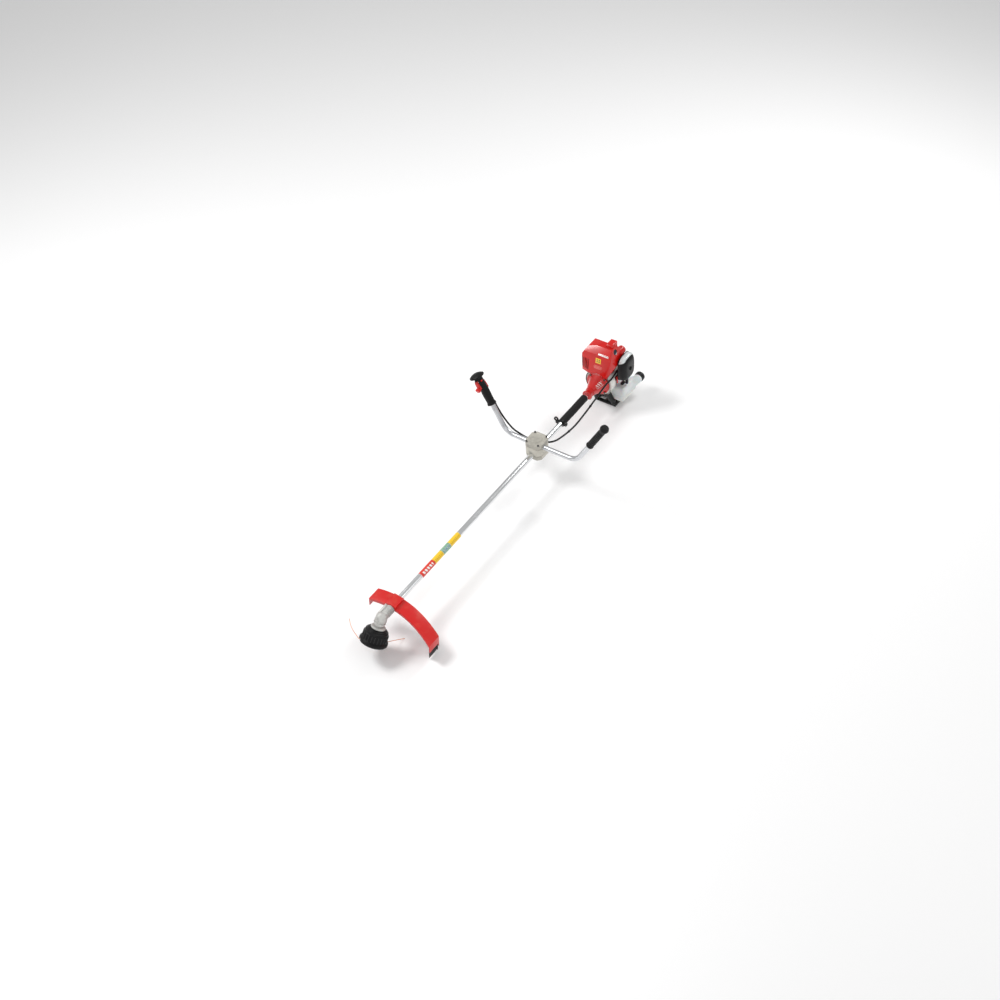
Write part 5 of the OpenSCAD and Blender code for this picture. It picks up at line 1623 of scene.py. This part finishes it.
class TRIMMER_OT_screws(TrimmerStep):
    """Drive every socket screw"""

    bl_idname = "trimmer.screws"
    bl_label = "Socket screws"

    def build(self):
        size = context_sizes("bar")
        places = []
        top = high("clamp_cap").z - 0.005
        for x in (-1, 1):
            for y in (-1, 1):
                places.append(shift(mid("clamp_cap").x + x * (size.clamp / 2 - 0.009),
                                    y * (size.clamp_wide / 2 - 0.011), top))
        tube = context_sizes("shaft").tube
        places.append(shift(mid("hanger").x, tube + 0.008, AXIS_Z + 0.006))
        places.append(at_gear() @ shift(TUBE_FRONT - GEAR.x - 0.007, 0, -tube - 0.009) @ turn("X", 180))
        for s in (-1, 1):
            places.append(at_gear() @ shift(-0.085, s * (tube + 0.004), -tube - 0.005) @ turn("X", 180))
        for a in (45, 135, 225, 315):
            places.append(along_shaft(FAN_FRONT + 0.006) @ turn("Z", a) @ shift(0.051, 0, 0))
        shape = [(0, 2.4), (2.4, 2.4), (2.4, 5), (3.9, 5), (4.25, 4.6), (4.25, 0), (2.5, 0), (2.5, -8),
                 (0, -8)]
        hexed = lambda a, r, z: 2.3 / math.cos((a % (math.tau / 6)) - math.tau
                                               / 12) if r == 2.4 else r * (1 - 0.018
                                                       * (int(a / math.tau * 36) % 2)) if r == 4.25 else r
        screw = turned(bmesh.new(), shape, Matrix.Identity(4), 36, hexed)
        points = point_mesh("screw_points", [p.translation for p in places],
                            [p.to_3x3() @ Vector((0, 0, 1)) for p in places])
        mesh = with_shape(scattered_recipe(), "screws", screw, points, Material=black_oxide())
        shown("screws", joined("screws", mesh), "frame", "screw", black_oxide(), "socket_screws")


class TRIMMER_OT_insides(TrimmerStep):
    """Give every inner piece its own metal or plastic"""

    bl_idname = "trimmer.insides"
    bl_label = "Inner pieces"

    def build(self):
        inner = {
            machined_steel: ("drive_shaft", "gear_bearings", "drive_pinion", "output_gear", "bump_spring",
                             "clutch_drum", "crankshaft", "connecting_rod"),
            cast_alloy: ("flywheel", "piston"),
            moulded_black: ("line_spool",),
            grip_rubber: ("shaft_bushes",),
            hot_steel: ("clutch_shoes",),
        }
        for finish_of, nodes in inner.items():
            for node in nodes:
                materials = frame["nodes"][node].data.materials
                materials.clear()
                materials.append(finish_of())


class TRIMMER_OT_stage(TrimmerStep):
    """Set the pale floor and the soft studio lights"""

    bl_idname = "trimmer.stage"
    bl_label = "Studio"

    def build(self):
        scene = bpy.context.scene
        bm = bmesh.new()
        rings = [[Vector((x, y, z)) for x,
                  z in ((-14, 7), (-14, 1.2), (-13.4, 0.3), (-12.5, -0.001), (14, -0.001))]
                 for y in (-14, 14)]
        verts = [[bm.verts.new(p) for p in ring] for ring in rings]
        for i in range(4):
            bm.faces.new((verts[0][i], verts[0][i + 1], verts[1][i + 1], verts[1][i]))
        mesh = bpy.data.meshes.new("floor")
        bm.to_mesh(mesh)
        bm.free()
        mesh.materials.append(pale_floor())
        floor = helper("floor", mesh)
        for name, spot, aim, power, wide in (
            ("key", (1.9, -2.6, 4.0), (0.8, 0, 0.2), 120, 1.4),
            ("fill", (1.4, 3.8, 2.6), (0.7, 0, 0.2), 26, 3.0),
            ("rim", (-2.4, 0.6, 2.8), (0.2, 0, 0.3), 46, 0.9),
            ("head_light", (3.4, 0.8, 1.2), (1.5, 0, 0.1), 8, 1.0),
        ):
            data = bpy.data.lights.new(name, "AREA")
            data.energy, data.size = power, wide
            light = bpy.data.objects.new(name, data)
            light.matrix_world = Matrix.Translation(spot) @ (Vector(spot) - Vector(aim)).to_track_quat("Z",
                    "Y").to_matrix().to_4x4()
            scene.collection.objects.link(light)
        world = bpy.data.worlds.new("studio")
        world.use_nodes = True
        world.node_tree.nodes["Background"].inputs["Color"].default_value = (1, 1, 1, 1)
        world.node_tree.nodes["Background"].inputs["Strength"].default_value = 0.5
        scene.world = world
        scene.view_settings.view_transform = "Standard"
        scene.view_settings.look = "None"


STEPS = (
    TRIMMER_OT_camera,
    TRIMMER_OT_cutting_line,
    TRIMMER_OT_tube,
    TRIMMER_OT_foam,
    TRIMMER_OT_bar,
    TRIMMER_OT_cable,
    TRIMMER_OT_clamp,
    TRIMMER_OT_left_grip,
    TRIMMER_OT_throttle_grip,
    TRIMMER_OT_gear_case,
    TRIMMER_OT_head,
    TRIMMER_OT_guard,
    TRIMMER_OT_clutch,
    TRIMMER_OT_engine_block,
    TRIMMER_OT_cover,
    TRIMMER_OT_intake,
    TRIMMER_OT_tank,
    TRIMMER_OT_starter,
    TRIMMER_OT_stand,
    TRIMMER_OT_screws,
    TRIMMER_OT_insides,
    TRIMMER_OT_stage,
)


class TRIMMER_PT_panel(bpy.types.Panel):
    """Sizes, colours and the steps that build the trimmer"""

    bl_idname = "TRIMMER_PT_panel"
    bl_label = "String trimmer"
    bl_space_type = "VIEW_3D"
    bl_region_type = "UI"
    bl_category = "Trimmer"

    def draw(self, context):
        for group in SIZE_GROUPS:
            box = self.layout.box()
            box.label(text=group.capitalize())
            for name in SIZE_GROUPS[group].__annotations__:
                box.prop(getattr(context.scene, "trimmer_" + group), name)
        for step in STEPS:
            self.layout.operator(step.bl_idname)


def register():
    for cls in tuple(SIZE_GROUPS.values()) + STEPS + (TRIMMER_PT_panel,):
        bpy.utils.register_class(cls)
    for name, group in SIZE_GROUPS.items():
        setattr(bpy.types.Scene, "trimmer_" + name, bpy.props.PointerProperty(type=group))


def unregister():
    for name in SIZE_GROUPS:
        delattr(bpy.types.Scene, "trimmer_" + name)
    for cls in reversed(tuple(SIZE_GROUPS.values()) + STEPS + (TRIMMER_PT_panel,)):
        bpy.utils.unregister_class(cls)


def main():
    register()
    for step in STEPS:
        family, name = step.bl_idname.split(".")
        if getattr(getattr(bpy.ops, family), name)() != {"FINISHED"}:
            raise RuntimeError(f"{step.bl_idname} did not finish")


if __name__ == "__main__":
    main()
